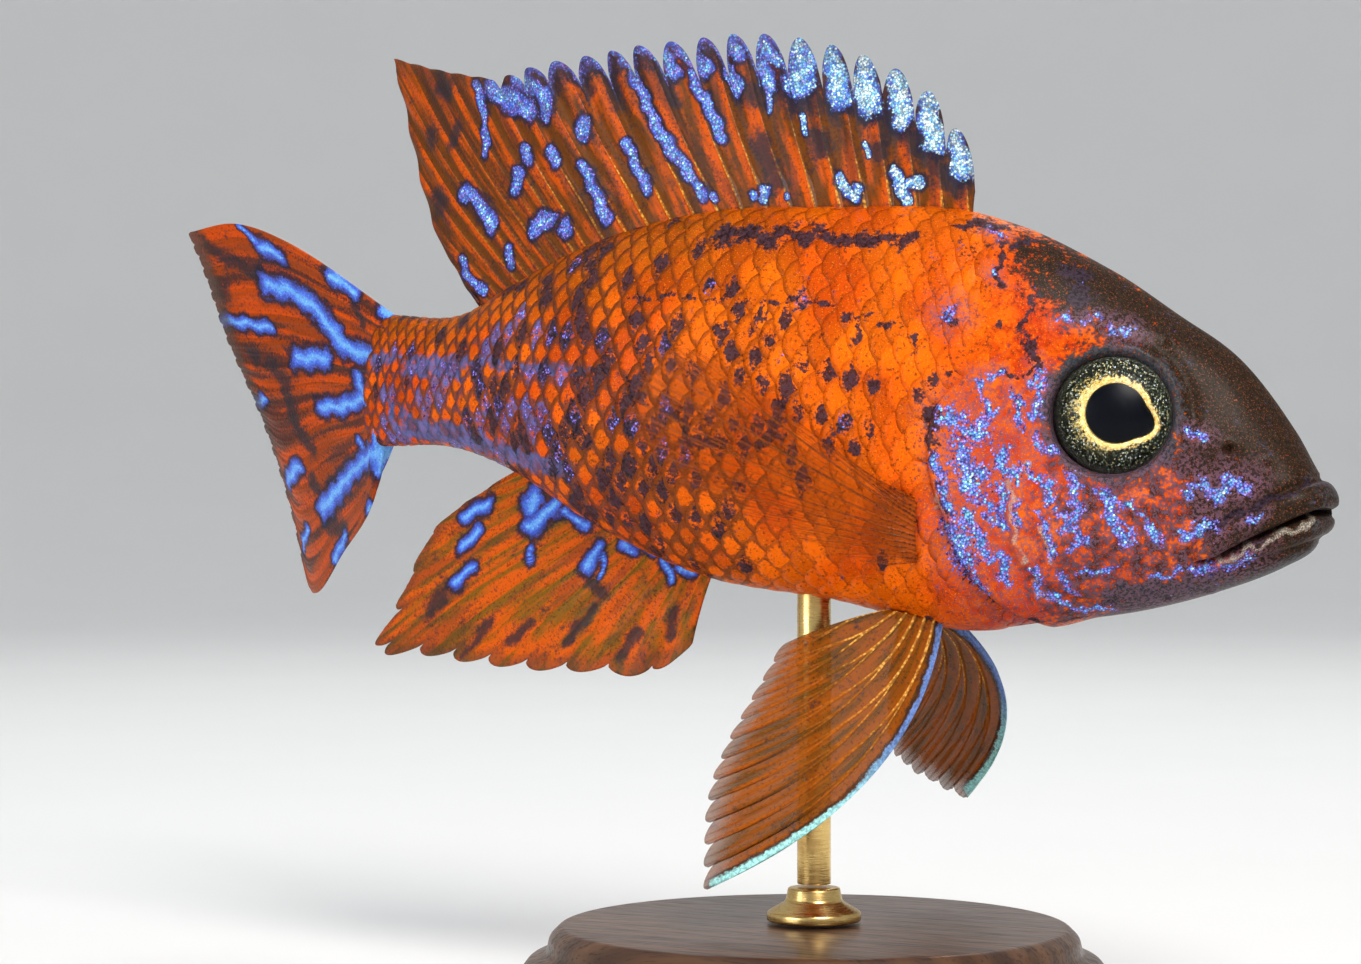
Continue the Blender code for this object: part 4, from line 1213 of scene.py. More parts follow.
def eased(profile, radius=0.35):
    """A profile whose inner corners are rounded by a small radius."""
    points = np.array(profile, float)
    out = [points[0]]
    for before, corner, after in zip(points, points[1:], points[2:]):
        back, ahead = before - corner, after - corner
        r = min(radius, 0.45 * np.linalg.norm(back), 0.45 * np.linalg.norm(ahead))
        a, b = corner + back / np.linalg.norm(back) * r, corner + ahead / np.linalg.norm(ahead) * r
        t = shares(CORNER_STEPS)[:, None]
        out.extend(a * (1 - t) ** 2 + corner * 2 * t * (1 - t) + b * t * t)
    out.append(points[-1])
    return np.array(out)


def spun(name, node, profile, sides=160):
    """A closed piece spun round the stand's axis from (radius, height) points in millimetres."""
    angle = full_turn(sides)
    radius, height = profile[:, :1], profile[:, 1:]
    points = stacked(radius * np.cos(angle), radius * np.sin(angle), height) * MM
    made = mesh_object(name, points, disc_faces(len(profile), sides))
    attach(made, "root")
    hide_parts(node)
    return made


def make_stand():
    base = [(BASE_RADIUS + step, BASE_HEIGHT * share) for step, share in BASE_PROFILE]
    base = [(AXIS_GAP, 0.0), *base, (AXIS_GAP, BASE_HEIGHT)]
    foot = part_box("stand_collar")[0][2] / MM
    collar = [(COLLAR_RADIUS * wide, foot + COLLAR_HEIGHT * share) for wide, share in COLLAR_PROFILE]
    collar = [(AXIS_GAP, foot), *collar, (AXIS_GAP, foot + COLLAR_HEIGHT)]
    low, high = (corner[2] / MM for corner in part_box("stand_rod"))
    rod = [(AXIS_GAP, low), (ROD_RADIUS, low), (ROD_RADIUS, high), (AXIS_GAP, high)]
    return (spun("stand_base_turned", "stand_base", eased(base)),
            spun("stand_collar_turned", "stand_collar", eased(collar, 0.25), 96),
            spun("stand_rod_drawn", "stand_rod", eased(rod, 0.1), 64))


stand_base, stand_collar, stand_rod = make_stand()
print("stand", 2 * BASE_RADIUS, "mm across")

# %% [markdown]
# ## Markings
# The marks are pigment and mirror cells in the skin under the scales, so skin and scales must
# agree. Two sets hold painted light: the pale strokes of the head are pale skin with a painted
# highlight along the lips and the ridges of the cheek and gill cover, and the dark line along the
# free edge of the gill cover is painted shade in the gap under it. The marks are kept as short
# strokes, listed by half width, each a row of places on the fish's side: s, arc, s, arc and so on.
# The distance to the nearest stroke becomes a soft value at every point, 0.5 at its edge, and the
# finish turns that into a ragged, grainy mark. Nothing is painted on an image.

# %% Strokes of the head
HEAD_GLITTER = {
    0.16: [(25.6, 2.2, 25.1, 0.8)],
    0.18: [(29.8, -1, 28.8, -1.5, 27.8, -2.8), (11.1, -0.5, 10.6, -0.2), (7.1, 0.2, 5.8, 1)],
    0.21: [(12.1, -2, 10.8, -1.5, 9.6, -0.5), (22.3, 15.2, 21.1, 15.8), (30.6, 18, 30.3, 17.5),
          (29.6, 8.8, 28.6, 9)],
    0.22: [(25.3, 8.5, 24.6, 9.2), (24.1, 3.5, 23.6, 3)],
    0.23: [(29.1, 5.2, 28.6, 6), (29.3, -8.2, 28.6, -9.5, 28.1, -10.2), (25.8, -1.2, 25.8, -2.5, 25.6, -3.2),
          (20.3, -6.5, 19.1, -6.2, 17.3, -5.8), (24.1, 14.8, 23.3, 15.2), (26.8, 7.5, 26.6, 5.8, 26.3, 4.8),
          (30.3, 8, 29.8, 7.2), (26.1, 1.5, 25.8, 0.2)],
    0.24: [(28.3, -2.8, 27.6, -3.8), (30.6, 8, 29.8, 7.2, 29.3, 6)],
    0.26: [(15.3, -0.8, 14.3, -1.5, 13.8, -2), (14.3, -6, 12.8, -5.8, 12.3, -5), (10.6, 2.8, 9.6, 2),
          (25.1, 4.8, 24.3, 3.5, 23.3, 3.5), (22.6, -1.5, 21.8, -2), (16.8, 0, 15.8, -0.5),
          (12.3, 6.8, 11.1, 7)],
    0.27: [(10.1, 2.2, 9.1, 2), (21.8, -3, 21.1, -1.8), (21.1, -4.5, 19.8, -3.2),
          (27.3, 7.5, 26.6, 6.2, 26.3, 5), (25.3, 7, 24.6, 6.2)],
    0.28: [(33.3, 0.8, 32.6, -0.5, 32.1, -1.8, 31.6, -3), (31.8, 22.5, 30.8, 22)],
    0.3: [(15.3, -0.8, 14.6, -1.5, 13.8, -2.5)],
    0.31: [(23.8, -6.8, 23.8, -8.2, 23.1, -9.2, 21.3, -10.2, 19.6, -10.8, 17.6, -10.5),
          (20.3, 15.2, 19.6, 14.8, 18.3, 14.8), (25.3, 10, 25.6, 8.8, 25.1, 7.2, 25.3, 6.2)],
    0.32: [(12.1, -2, 10.8, -1.2, 9.3, -0.2)],
    0.34: [(27.1, -6.2, 26.6, -7, 26.3, -8.5), (23.8, -2.2, 23.3, -3, 22.8, -4.2, 22.6, -5.5),
          (21.8, -7, 21.1, -7.8, 20.8, -8.5)],
    0.36: [(9.1, 2.5, 8.3, 3.2, 7.3, 3)],
    0.39: [(30.1, -3.5, 29.1, -4.8, 28.1, -6.5), (27.3, -0.5, 27.1, -1.8, 27.1, -3.8),
          (27.3, 2.8, 27.8, 1.5, 26.8, 1), (24.6, 1.2, 23.6, 0.8, 23.1, -0.5), (33.8, 13, 33.3, 13.5)],
    0.41: [(21.6, 1.8, 21.1, 0.8, 20.8, -1.2, 21.1, -2.5, 20.6, -3.2), (11.6, 2, 10.8, 3, 9.6, 2.8)],
    0.43: [(8.8, 3.5, 7.3, 3.5)],
    0.44: [(10.8, -4.7, 9.3, -4.3, 7.6, -3.6, 6.1, -2.9)],
    0.47: [(29.6, 0.5, 29.3, 0.2)],
    0.52: [(30.6, 3.8, 29.8, 3.5, 29.3, 4.5)],
    0.54: [(18.6, 0.5, 17.8, -0.8, 17.3, -2.2, 16.3, -2.8)],
    0.57: [(32.6, 4.2, 31.6, 4.8)],
    0.62: [(31.1, -5, 30.3, -6.2, 30.1, -7.8)],
    0.67: [(31.1, 2, 30.8, 1, 30.3, -0.2, 29.8, -1)],
}
HEAD_DARK = {
    0.13: [(33.1, 8, 31.8, 8.5)],
    0.18: [(10.3, -1.2, 8.3, 0.5, 5.3, 2, 1.3, 3)],
    0.21: [(29.1, 9, 27.3, 9.2, 25.6, 10.2), (33.6, 13, 33.3, 12.5)],
    0.23: [(30.6, 22, 30.1, 20.5, 30.3, 17.8, 29.8, 17), (26.8, 16.2, 27.3, 14, 27.6, 12.8),
          (29.3, 13, 29.1, 13)],
    0.26: [(27.3, 17.8, 26.3, 17)],
    0.34: [(29.1, 21, 27.6, 22.8)],
    0.36: [(33.8, 3.5, 33.8, 1.8, 33.1, 0.2)],
    0.39: [(27.3, 12.8, 26.3, 11.8, 25.6, 10.5)],
    0.47: [(34.6, 21.2, 33.1, 23, 30.6, 23.2)],
    0.67: [(24.6, 20, 23.1, 19, 23.3, 17.2, 21.6, 16.5)],
}
# Pale cream strokes on the lips and along the ridges of the cheek and gill cover: pale skin with a painted
# highlight where these raised edges catch the light.
HEAD_PALE_AND_HIGHLIGHT = {
    0.13: [(10.2, -4.1, 8.3, -3, 6.3, -1.9, 4.4, -1.1)],
    0.2: [(26.7, 1.4, 26.4, -1, 26.1, -2.8, 25.6, -4.5, 24.8, -6.3)],
    0.22: [(23.8, -3, 23.1, -4.2, 22.6, -6), (4.4, -1.1, 3, -0.8, 1.3, -0.5), (32.8, -2.5, 32.3, -3.5)],
    0.24: [(25.6, 2.2, 25.1, 1), (24.1, -7.8, 23.3, -9.2, 21.6, -10.2)],
}
# A dark line along the free edge of the gill cover: painted shade in the gap where the cover overlaps the
# body, laid in with the dark marks.
GILL_EDGE_SHADE = {
    0.24: [(33.8, 4, 34.1, 2, 33.6, 0, 32.6, -1.8, 31.6, -3.8, 30.8, -6, 30.1, -8.2, 28.6, -10.2, 26.1, -11.8,
          23.1, -12.8, 19.6, -12)],
}
LIP_GREY = {
    1.16: [(17.1, -9, 12.3, -6.8, 9.1, -5.5)],
    1.55: [(13.8, 7.8, 9.1, 7.8), (8.8, -2, 4.8, 1, 0.6, 1.8)],
    1.81: [(8.8, -5.5, 4.6, -3.5, 0.6, -1.5)],
    2.85: [(21.8, 20.5, 17.6, 17.2, 12.3, 13.5, 8.1, 9.2, 4.3, 5, 1.3, 2.8)],
}


# %% Strokes and spots of the flank
STREAKS = {
    0.38: [(60.6, 2.2, 59.1, 0.5)],
    0.4: [(55.3, 0, 54.8, -1.2, 54.1, -2.8)],
    0.45: [(46.8, 2.2, 46.8, 0.8, 47.6, -0.8, 48.1, -1.8)],
    0.49: [(53.1, -2.2, 52.1, -2)],
    0.54: [(33.8, 4.5, 33.8, 2.5)],
    0.56: [(55.1, 15.8, 55.1, 16.8, 53.6, 17.2, 51.8, 17.5, 50.8, 16.5, 49.8, 17.8, 49.1, 18.2, 47.6, 17.8,
          46.6, 18.8, 45.3, 18.5, 43.3, 18.2, 41.3, 18.8, 39.6, 19, 38.3, 19.5)],
    0.58: [(66.1, -1.5, 64.6, -4)],
}
LATERAL_LINE = {
    0.2: [(35.3, 9.5, 36.8, 10.5, 38.8, 11, 41.1, 11.2, 43.1, 11.2, 45.3, 11.8, 48.3, 11.2, 50.6, 11, 53.6,
          10.2, 58.1, 9.8, 62.3, 9.2)],
}
STALK_LINE = {
    0.46: [(65.8, 2.2, 70.6, 2, 77.3, 2.2, 85.1, 2.2, 93.6, 2.2)],
}
BLUE_BAND = {
    0.46: [(92.3, -2.2, 92.1, -4.5)],
    0.55: [(96.1, 1.8, 94.3, 2)],
    0.61: [(90.1, -3.2, 86.8, -4.5, 83.8, -4.2, 80.8, -4.8, 78.1, -5.8, 75.1, -6, 72.3, -6.5, 68.8, -6.5,
          67.1, -6.8)],
    0.69: [(90.1, 1.2, 85.8, 1.5, 81.3, 1.2)],
    0.87: [(90.1, -4.8, 86.3, -5.2, 81.3, -5.5, 76.3, -5.8, 73.6, -6.5, 70.1, -6.8, 67.6, -7)],
}
SPOTS = {
    0.31: [(51.8, 11.2)],
    0.36: [(63.1, 11.8), (56.1, 7.8), (49.8, 8.8), (42.3, -1)],
    0.38: [(52.8, 7.2)],
    0.4: [(65.8, 14), (69.6, 12.2), (35.1, 6), (38.6, 2.2), (53.3, -0.8)],
    0.43: [(92.3, 7.2)],
    0.45: [(48.6, 5.8), (40.8, 6.2), (48.6, 1), (39.6, 0)],
    0.49: [(55.1, 11.5), (52.6, 12.5), (60.6, 6.5), (51.8, 4.8), (51.6, 3), (49.8, 4), (42.8, 6),
          (64.6, -3.8)],
    0.52: [(66.8, 10.5)],
    0.54: [(57.3, 14.2), (59.6, 13), (46.8, 10.8), (56.6, 3), (48.3, 4.5), (38.8, 5.8), (52.1, 1.2),
          (50.1, 1), (43.1, 3), (41.3, 2.2), (58.8, -3.5), (48.8, -2)],
    0.55: [(74.1, 1.2), (71.6, 9.8), (73.1, 11.2)],
    0.56: [(51.1, 7.8)],
    0.58: [(67.6, 6.2), (65.1, 6), (46.3, 4.5), (50.3, -2.2)],
    0.6: [(44.6, 5.2), (69.6, 5.5), (63.6, 6.2), (58.3, 6.2), (63.8, 2), (60.3, 2), (62.6, -1.5), (60.6, -2),
          (66.6, -3), (68.3, -4.2), (56.8, -3.2), (55.6, -3.5), (62.1, -6.8), (61.1, -6.8), (59.6, -6.5),
          (57.3, -7), (55.8, -6.5), (54.1, -6.5), (52.3, -6.5), (50.3, -6), (48.8, -6), (55.6, -10),
          (58.8, -10.2), (57.1, 0.2), (53.3, -2.5), (51.6, -1.8), (65.6, -1.5), (55.1, -0.8), (65.1, -12.2),
          (66.3, -10), (53.8, -10.5), (51.8, -9)],
    0.62: [(58.8, 2.8), (44.8, 1.8), (44.8, -1.2)],
    0.67: [(65.1, 2.2), (66.8, 1.8), (55.1, 4.2), (53.8, 3.8)],
    0.71: [(62.1, 2.8)],
}
BLUE_SPOTS = {
    0.22: [(46.8, 10.8), (41.6, 2.5)],
    0.27: [(70.1, -1.5), (69.3, 13)],
    0.31: [(72.1, -1.5), (77.3, -3.8)],
    0.34: [(74.6, -1.5), (69.6, 11.5), (67.6, 6.2), (69.6, 5.5), (68.6, -4)],
    0.37: [(78.1, 3.5), (89.8, 1.2), (76.6, -1.2), (74.3, -4.5)],
    0.4: [(84.3, -1.2), (66.3, -1.5)],
    0.43: [(73.6, 7), (76.6, 5.8), (78.6, 1.5), (77.1, 0.5), (84.1, 2.5), (84.6, 0.5), (72.1, 2.2),
          (68.1, 0.8)],
    0.46: [(81.6, 1.5), (93.6, 3.2), (69.3, 1.2), (71.1, -3.8)],
    0.49: [(86.8, 1.5)],
    0.51: [(88.8, 2.5), (67.3, -6.5), (68.6, -5.5), (55.1, 11.2), (86.6, -1)],
    0.54: [(63.6, 6)],
    0.61: [(80.3, -3.2), (94.8, 2)],
    0.62: [(58.6, 6.2), (57.3, 0.2)],
    0.67: [(55.6, -3.5)],
    0.76: [(62.6, -1.5), (60.6, -2.2), (56.6, -3.2)],
}


# %% From strokes to values
def stroke_value(s, a, strokes, wider=1.0):
    """1 on a stroke's middle line, 0.5 at its edge and 0 beyond."""
    value = np.zeros(np.shape(s))
    for width, rows in strokes.items():
        reach = width * np.broadcast_to(wider, np.shape(s))
        for row in rows:
            line = np.reshape(row, (-1, 2))
            low, high = line.min(axis=0) - 2 * reach.max(), line.max(axis=0) + 2 * reach.max()
            near = (s > low[0]) & (s < high[0]) & (a > low[1]) & (a < high[1])
            if near.any():
                distance, _ = from_line(s[near], a[near], line)
                value[near] = np.maximum(value[near], 1 - 0.5 * distance / reach[near])
    return value


def own_side(s, a, side):
    """Strokes get a slight wiggle, and the left side has the same plan of marks moved about a little."""
    left = np.where(side > 0, 1.0, 0.0)
    rear = ease(s, 30.0, 38.0)
    wiggle_s = 0.20 * np.sin(2.3 * a + 1.1 * s) + 0.13 * np.sin(4.7 * a - 2.9 * s + 1.0)
    wiggle_a = 0.20 * np.sin(2.1 * s - 0.7 * a + 2.0) + 0.13 * np.sin(5.3 * s + 1.9 * a)
    moved_s = s + wiggle_s + left * ((1.1 * np.sin(0.55 * a) + 0.8) * rear + 0.35 * np.sin(a) * (1 - rear))
    moved_a = a + wiggle_a + left * (0.9 * np.sin(0.31 * s) * rear + 0.4 * np.sin(0.6 * s) * (1 - rear))
    return moved_s, moved_a


def arc_at(s, z):
    """Arc up the side at which the body reaches a height."""
    arcs = np.linspace(-4.0, 14.0, 181)
    return float(np.interp(z, body_point(s + 0 * arcs, arcs)[:, 2], arcs))


EYE_ARC = arc_at(*EYE)
print("the eye's middle is", round(EYE_ARC, 2), "mm up the side")


# %% Broad zones
def zones(s, a):
    """Broad changes of ground: olive back, red cheek, grey snout and chin, and dark nets between scales."""
    top, low = np.interp(s, TABLE_S, TOP_ARC), np.interp(s, TABLE_S, LOW_ARC)
    up = np.clip((a - low) / np.maximum(top - low, 0.1), 0.0, 1.0)
    from_eye = np.hypot(s - EYE[0], a - EYE_ARC)
    olive = 0.9 * ease(up, 0.58, 0.86) * ease(s, 42.0, 60.0)
    olive += 0.3 * ease(up, 0.75, 0.95) * ease(s, 26.0, 40.0)
    red = (1 - ease(s, 27.0, 35.0)) * 0.85 + 0.35 * ease(s, 62.0, 88.0) * (1 - ease(up, 0.6, 0.9))
    net = 0.26 + 0.62 * ease(s + 8.0 * (1 - ease(a, -3.0, 5.0)), 50.0, 72.0)
    net += 0.45 * (1 - ease(up, 0.22, 0.45)) * ease(s, 46.0, 58.0)
    net = net * (1 - 0.45 * ease(up, 0.62, 0.85)) - 0.15 * (1 - ease(s, 36.0, 48.0))
    snout = (1 - ease(s + 0.25 * (10 - a), 12.0, 17.5)) * ease(a, -4.0, 1.0)
    brow = ease(up + 0.012 * (18 - s), 0.58, 0.86) * (1 - ease(s, 25.0, 42.0)) * 0.95
    brow = brow * (1 - 0.40 * ease(up, 0.88, 0.98) * ease(s, 13.0, 22.0))
    lips = 1 - ease(s + 0.3 * np.abs(a), 7.5, 11.5)
    cheek = 0.54 * (1 - ease(s, 20.0, 29.0)) * (1 - ease(up, 0.55, 0.7))
    chin = (1 - ease(a + 0.20 * s, -5.0, -1.5)) * (1 - ease(s, 15.0, 24.0)) * 0.95
    lid = bump(from_eye - EYE_RADIUS + 0.2, 1.3)
    grey = np.maximum.reduce([snout, brow, cheek, chin, lips, 0.9 * lid])
    cool = np.maximum.reduce([chin, lid, 0.5 * (1 - ease(s, 0.0, 5.0)), 0.10 * brow])
    cool = np.maximum(cool, ease(s, 52.0, 84.0) * (1 - 0.7 * ease(up, 0.45, 0.75)) * ease(s, 34.0, 40.0))
    haze = 0.56 * (1 - ease(s, 27.0, 34.0)) * (1 - ease(up, 0.50, 0.66)) * ease(s, 5.0, 12.0)
    return {"olive": olive, "red": red, "net": np.clip(net, 0.0, 1.0), "grey": grey, "cool": cool,
            "haze": haze}


def body_values(s, a, side):
    """Every value of the ground and its marks but the spots, which differ on skin and scales."""
    s, a = own_side(s, a, side)
    values = zones(s, a)
    values["grey"] = np.maximum(values["grey"], 0.95 * stroke_value(s, a, LIP_GREY))
    broken = 0.80 + 0.38 * np.sin(1.7 * s + 0.9 * a) * np.sin(1.1 * s - 1.6 * a + 0.7)
    # Besides pigment marks, dark takes in the painted shade line along the gill cover's free edge.
    values["dark"] = np.maximum.reduce([broken * stroke_value(s, a, HEAD_DARK, 1.4),
                                        0.96 * stroke_value(s, a, STREAKS, 1.4),
                                        0.80 * stroke_value(s, a, GILL_EDGE_SHADE),
                                        0.76 * stroke_value(s, a, LATERAL_LINE, 1.3)])
    broader = ease(s, 25.0, 30.0) * (1 - ease(a, 3.0, 7.0))
    values["glitter"] = stroke_value(s, a, HEAD_GLITTER, 1.12 + 0.40 * broader)
    values["haze"] = np.maximum(values["haze"], 0.9 * stroke_value(s, a, HEAD_GLITTER, 3.4))
    values["band"] = np.maximum(stroke_value(s, a, BLUE_BAND), 0.8 * stroke_value(s, a, STALK_LINE))
    # The pale strokes are pale skin with a painted highlight on the lip and ridge edges.
    values["pale"] = stroke_value(s, a, HEAD_PALE_AND_HIGHLIGHT)
    return values


skin_values = body_values(skin_s, skin_a, skin_side)
add_values(skin, skin_values)
print("marked skin points", int((skin_values["glitter"] > 0.5).sum()), "glitter,",
      int((skin_values["dark"] > 0.5).sum()), "dark")


# %% Spots on the scales
SPOT_MIDDLE = 0.73


def spotted(spots, s, a):
    """1 for each scale that is nearest to a spot or well inside it, else 0."""
    chosen = np.zeros(len(s))
    for width, places in spots.items():
        for spot_s, spot_a in places:
            distance = np.hypot(s - spot_s, a - spot_a)
            chosen[distance < max(1.3 * width, distance.min() + 1e-6)] = 1.0
    return chosen


def oval(placed, tall, long):
    """1 on an oval round the middle of a scale's free part, and less inside it."""
    return np.sqrt((placed["v"] / tall) ** 2 + ((placed["u"] - SPOT_MIDDLE) / long) ** 2)


def mark_scales(side):
    """Streaks cross the scales point by point, while each spot fills the middle of one scale."""
    coat, placed = scales[side]
    values = body_values(placed["s"], placed["a"], side)
    values["oval"] = oval(placed, 0.62, 0.25)
    middle_s, middle_a = own_side(scale_s + 0.345 * scale_pitch, scale_a, side)
    net = zones(middle_s, middle_a)["net"]
    chance = rng.uniform(0.0, 1.0, len(scale_s))
    dark = np.maximum(spotted(SPOTS, middle_s, middle_a), chance < 0.27 * net)
    blue = np.maximum(spotted(BLUE_SPOTS, middle_s, middle_a),
                      chance > 1 - 0.10 * net * ease(middle_s, 60.0, 80.0))
    full = 0.66 + 0.36 * ease(middle_s, 50.0, 72.0) + rng.uniform(-0.12, 0.16, len(scale_s))
    inside = 1.0 - 0.5 * oval(placed, 0.78, 0.21) / full[:, None]
    values["spot"] = np.clip(dark[:, None] * inside, 0.0, 1.0)
    values["blue_spot"] = np.clip(blue[:, None] * (inside - 0.10), 0.0, 1.0)
    add_values(coat, values)
    return int(dark.sum()), int(blue.sum())


print("dark and blue scales", [mark_scales(side) for side in (RIGHT, LEFT)], "on the two sides")

# %% [markdown]
# ## Shared effects
# Three effects are used again and again, so each is a node group. The first is the noise that
# frays the edges of marks, as pigment cells do. The second is mirror glitter: tiny cells, each its
# own violet, blue or cyan, that thin out at a mark's edge. The third is the fish's ground colour.

# %% Frayed edges
def fray_group():
    """Coarse and fine noise about nought, for the edges of marks."""
    tree, _, out = shader_group("Fray", (), {"Fray": "Float"})
    both = plus(tree, noise(tree, 1.3, 1.0), noise(tree, 0.33, 2.0, 0.7))
    fill(tree, out, Fray=calc(tree, "SUBTRACT", both, 1.0))
    return tree


FRAY = fray_group()


def ragged(tree, fray, value, edge, amount, softness):
    """A mark's mask: its value with frayed edges, cut off softly."""
    return fit(tree, plus(tree, value, times(tree, fray, amount)), edge - softness, edge + softness)


print("group", FRAY.name, "with", len(FRAY.nodes), "nodes")


# %% Mirror glitter
MIRROR_COLOURS = [(0.0, (0.15, 0.07, 0.28)), (0.22, (0.36, 0.25, 0.72)), (0.42, (0.22, 0.27, 0.95)),
                  (0.60, (0.16, 0.42, 1.0)), (0.78, (0.35, 0.80, 1.0)), (1.0, (0.85, 1.0, 1.0))]
CELL_MM = 0.19


def glitter_group():
    """Grains that grow from sparse violet at a mark's edge to dense cyan at its core."""
    tree, given, out = shader_group("Mirror glitter", ("Value", "Cool"), {"Mask": "Float", "Colour": "Color"})
    cells = cells_of(tree, CELL_MM)
    split = split_colour(tree, cells["Color"])
    uneven = plus(tree, about(tree, split[1], 0.65), about(tree, noise(tree, 0.8, 2.0), 0.9))
    strength = plus(tree, given["Value"], uneven)
    warmth = plus(tree, about(tree, split[0], 0.6), given["Cool"])
    hue = calc(tree, "SUBTRACT", plus(tree, times(tree, strength, 0.75), warmth), 0.33, clamp=True)
    shade = times(tree, fit(tree, cells["Distance"], 0.15, 0.75, 1.15, 0.35),
                  fit(tree, split[2], 0.0, 1.0, 0.6, 1.45))
    fill(tree, out, Mask=fit(tree, strength, 0.46, 0.56),
         Colour=scaled(tree, ramp(tree, hue, MIRROR_COLOURS), shade))
    return tree


GLITTER = glitter_group()
print("group", GLITTER.name, "with", len(GLITTER.nodes), "nodes")


# %% Ground of the fish's colour
def orange_ground(tree, given, lumps):
    """Orange in clouds of two strengths, reddened and darkened to olive in lumps."""
    clouds = fit(tree, noise(tree, 6.0, 0.0), 0.35, 0.65)
    orange = blend(tree, clouds, (0.70, 0.096, 0.002), (0.84, 0.162, 0.003))
    red = times(tree, given["Red"], fit(tree, lumps, 0.3, 0.62))
    olive = times(tree, given["Olive"], fit(tree, lumps, 0.25, 0.8, 1.0, 0.4), clamp=True)
    orange = layered(tree, orange, (red, (0.56, 0.040, 0.003)), (olive, (0.36, 0.090, 0.003)))
    return scaled(tree, orange, fit(tree, given["Tone"], 0.0, 1.0, 0.74, 1.10))


def ashen_skin(tree, given, lumps, fine, grain):
    """How grey a place is, and its grey: brown or cool, mottled, with a few warm grains."""
    mottle = calc(tree, "SUBTRACT", plus(tree, lumps, times(tree, fine, 0.7)), 0.85)
    greyed = fit(tree, plus(tree, given["Grey"], times(tree, mottle, 1.3)), 0.28, 0.66)
    grey = blend(tree, fit(tree, plus(tree, given["Cool"], mottle), 0.25, 0.75),
                 (0.034, 0.022, 0.014), (0.050, 0.054, 0.062))
    grey = scaled(tree, grey, fit(tree, fine, 0.3, 0.7, 0.65, 1.35))
    return greyed, blend(tree, times(tree, fit(tree, grain, 0.36, 0.26), 0.4), grey, (0.42, 0.11, 0.03))


def scale_netting(tree, given, lumps, fine):
    """The dark net between scales, and its colour: brown, or violet where the ground is cool."""
    net = times(tree, given["Net"], fit(tree, fine, 0.2, 0.6, 1.0, 0.72), clamp=True)
    cool = times(tree, given["Cool"], fit(tree, lumps, 0.35, 0.6))
    return net, blend(tree, cool, (0.125, 0.046, 0.014), (0.080, 0.054, 0.092))


# %% Fish pigment
def pigment_group():
    """The colour of skin or scale from its zones and marks, laid over one another."""
    names = ("Olive", "Red", "Grey", "Cool", "Haze", "Dark", "Band", "Net", "Pale", "Tone")
    tree, given, out = shader_group("Fish pigment", names, {"Colour": "Color"})
    lumps, fine, grain = noise(tree, 1.2, 2.0, 0.65), noise(tree, 0.30, 2.0, 0.7), noise(tree, 0.12, 0.0)
    fray = use_group(tree, FRAY)["Fray"]
    speckle = times(tree, fit(tree, fine, 0.52, 0.66), fit(tree, lumps, 0.35, 0.65, 0.2, 0.85))
    glint = times(tree, fit(tree, grain, 0.34, 0.24), 0.5)
    haze = times(tree, given["Haze"], fit(tree, fine, 0.42, 0.58, 0.10, 0.95), clamp=True)
    band = times(tree, ragged(tree, fray, given["Band"], 0.45, 1.1, 0.2), 0.85)
    banded = blend(tree, fit(tree, lumps, 0.35, 0.65), (0.075, 0.075, 0.16), (0.13, 0.17, 0.42))
    # Dark covers the pigment marks and spots, and also the painted shade line along the gill cover's edge.
    dark = times(tree, ragged(tree, fray, given["Dark"], 0.48, 1.2, 0.12), 0.94)
    slate = blend(tree, fit(tree, fine, 0.35, 0.6), (0.019, 0.013, 0.016), (0.062, 0.040, 0.060))
    # Pale: pale skin with a painted highlight on the lip and ridge edges.
    pale = times(tree, ragged(tree, fray, given["Pale"], 0.5, 0.7, 0.25),
                 fit(tree, grain, 0.3, 0.6, 0.80, 0.25))
    fill(tree, out, Colour=layered(
        tree, orange_ground(tree, given, lumps), (speckle, (0.22, 0.045, 0.008)), (glint, (1.0, 0.30, 0.02)),
        scale_netting(tree, given, lumps, fine), ashen_skin(tree, given, lumps, fine, grain),
        (haze, (0.235, 0.120, 0.175)), (band, banded), (dark, slate), (pale, (0.50, 0.44, 0.36))))
    return tree


PIGMENT = pigment_group()
print("group", PIGMENT.name, "with", len(PIGMENT.nodes), "nodes")

# %% [markdown]
# ## Finishes of skin and scales
# Fish skin is wet: a clear layer of slime over pigment, so both finishes have a thin clear coat
# over a satin base. The scale finish adds what only scales have: an orange oval in the middle, a
# darker net round it that widens towards the tail, and growth rings that catch the light.

# %% Wet skin and scales
def scale_net(tree):
    """Share of net colour over a scale: where its oval ends, nearer in as the net gets stronger."""
    net = value_of(tree, "net")
    reach = plus(tree, value_of(tree, "oval"), about(tree, noise(tree, 0.6, 2.0, 0.7), 1.1))
    inner = fit(tree, net, 0.0, 1.0, 0.98, 0.60)
    outer = plus(tree, inner, 0.34)
    return times(tree, fit(tree, reach, inner, outer), fit(tree, net, 0.0, 0.6, 0.16, 0.95))


def growth_rings(tree, height):
    """Fine ridges that run round a scale's oval."""
    warped = plus(tree, value_of(tree, "oval"), times(tree, height, 0.25))
    return times(tree, calc(tree, "SINE", times(tree, warped, 36.0)), 0.09)


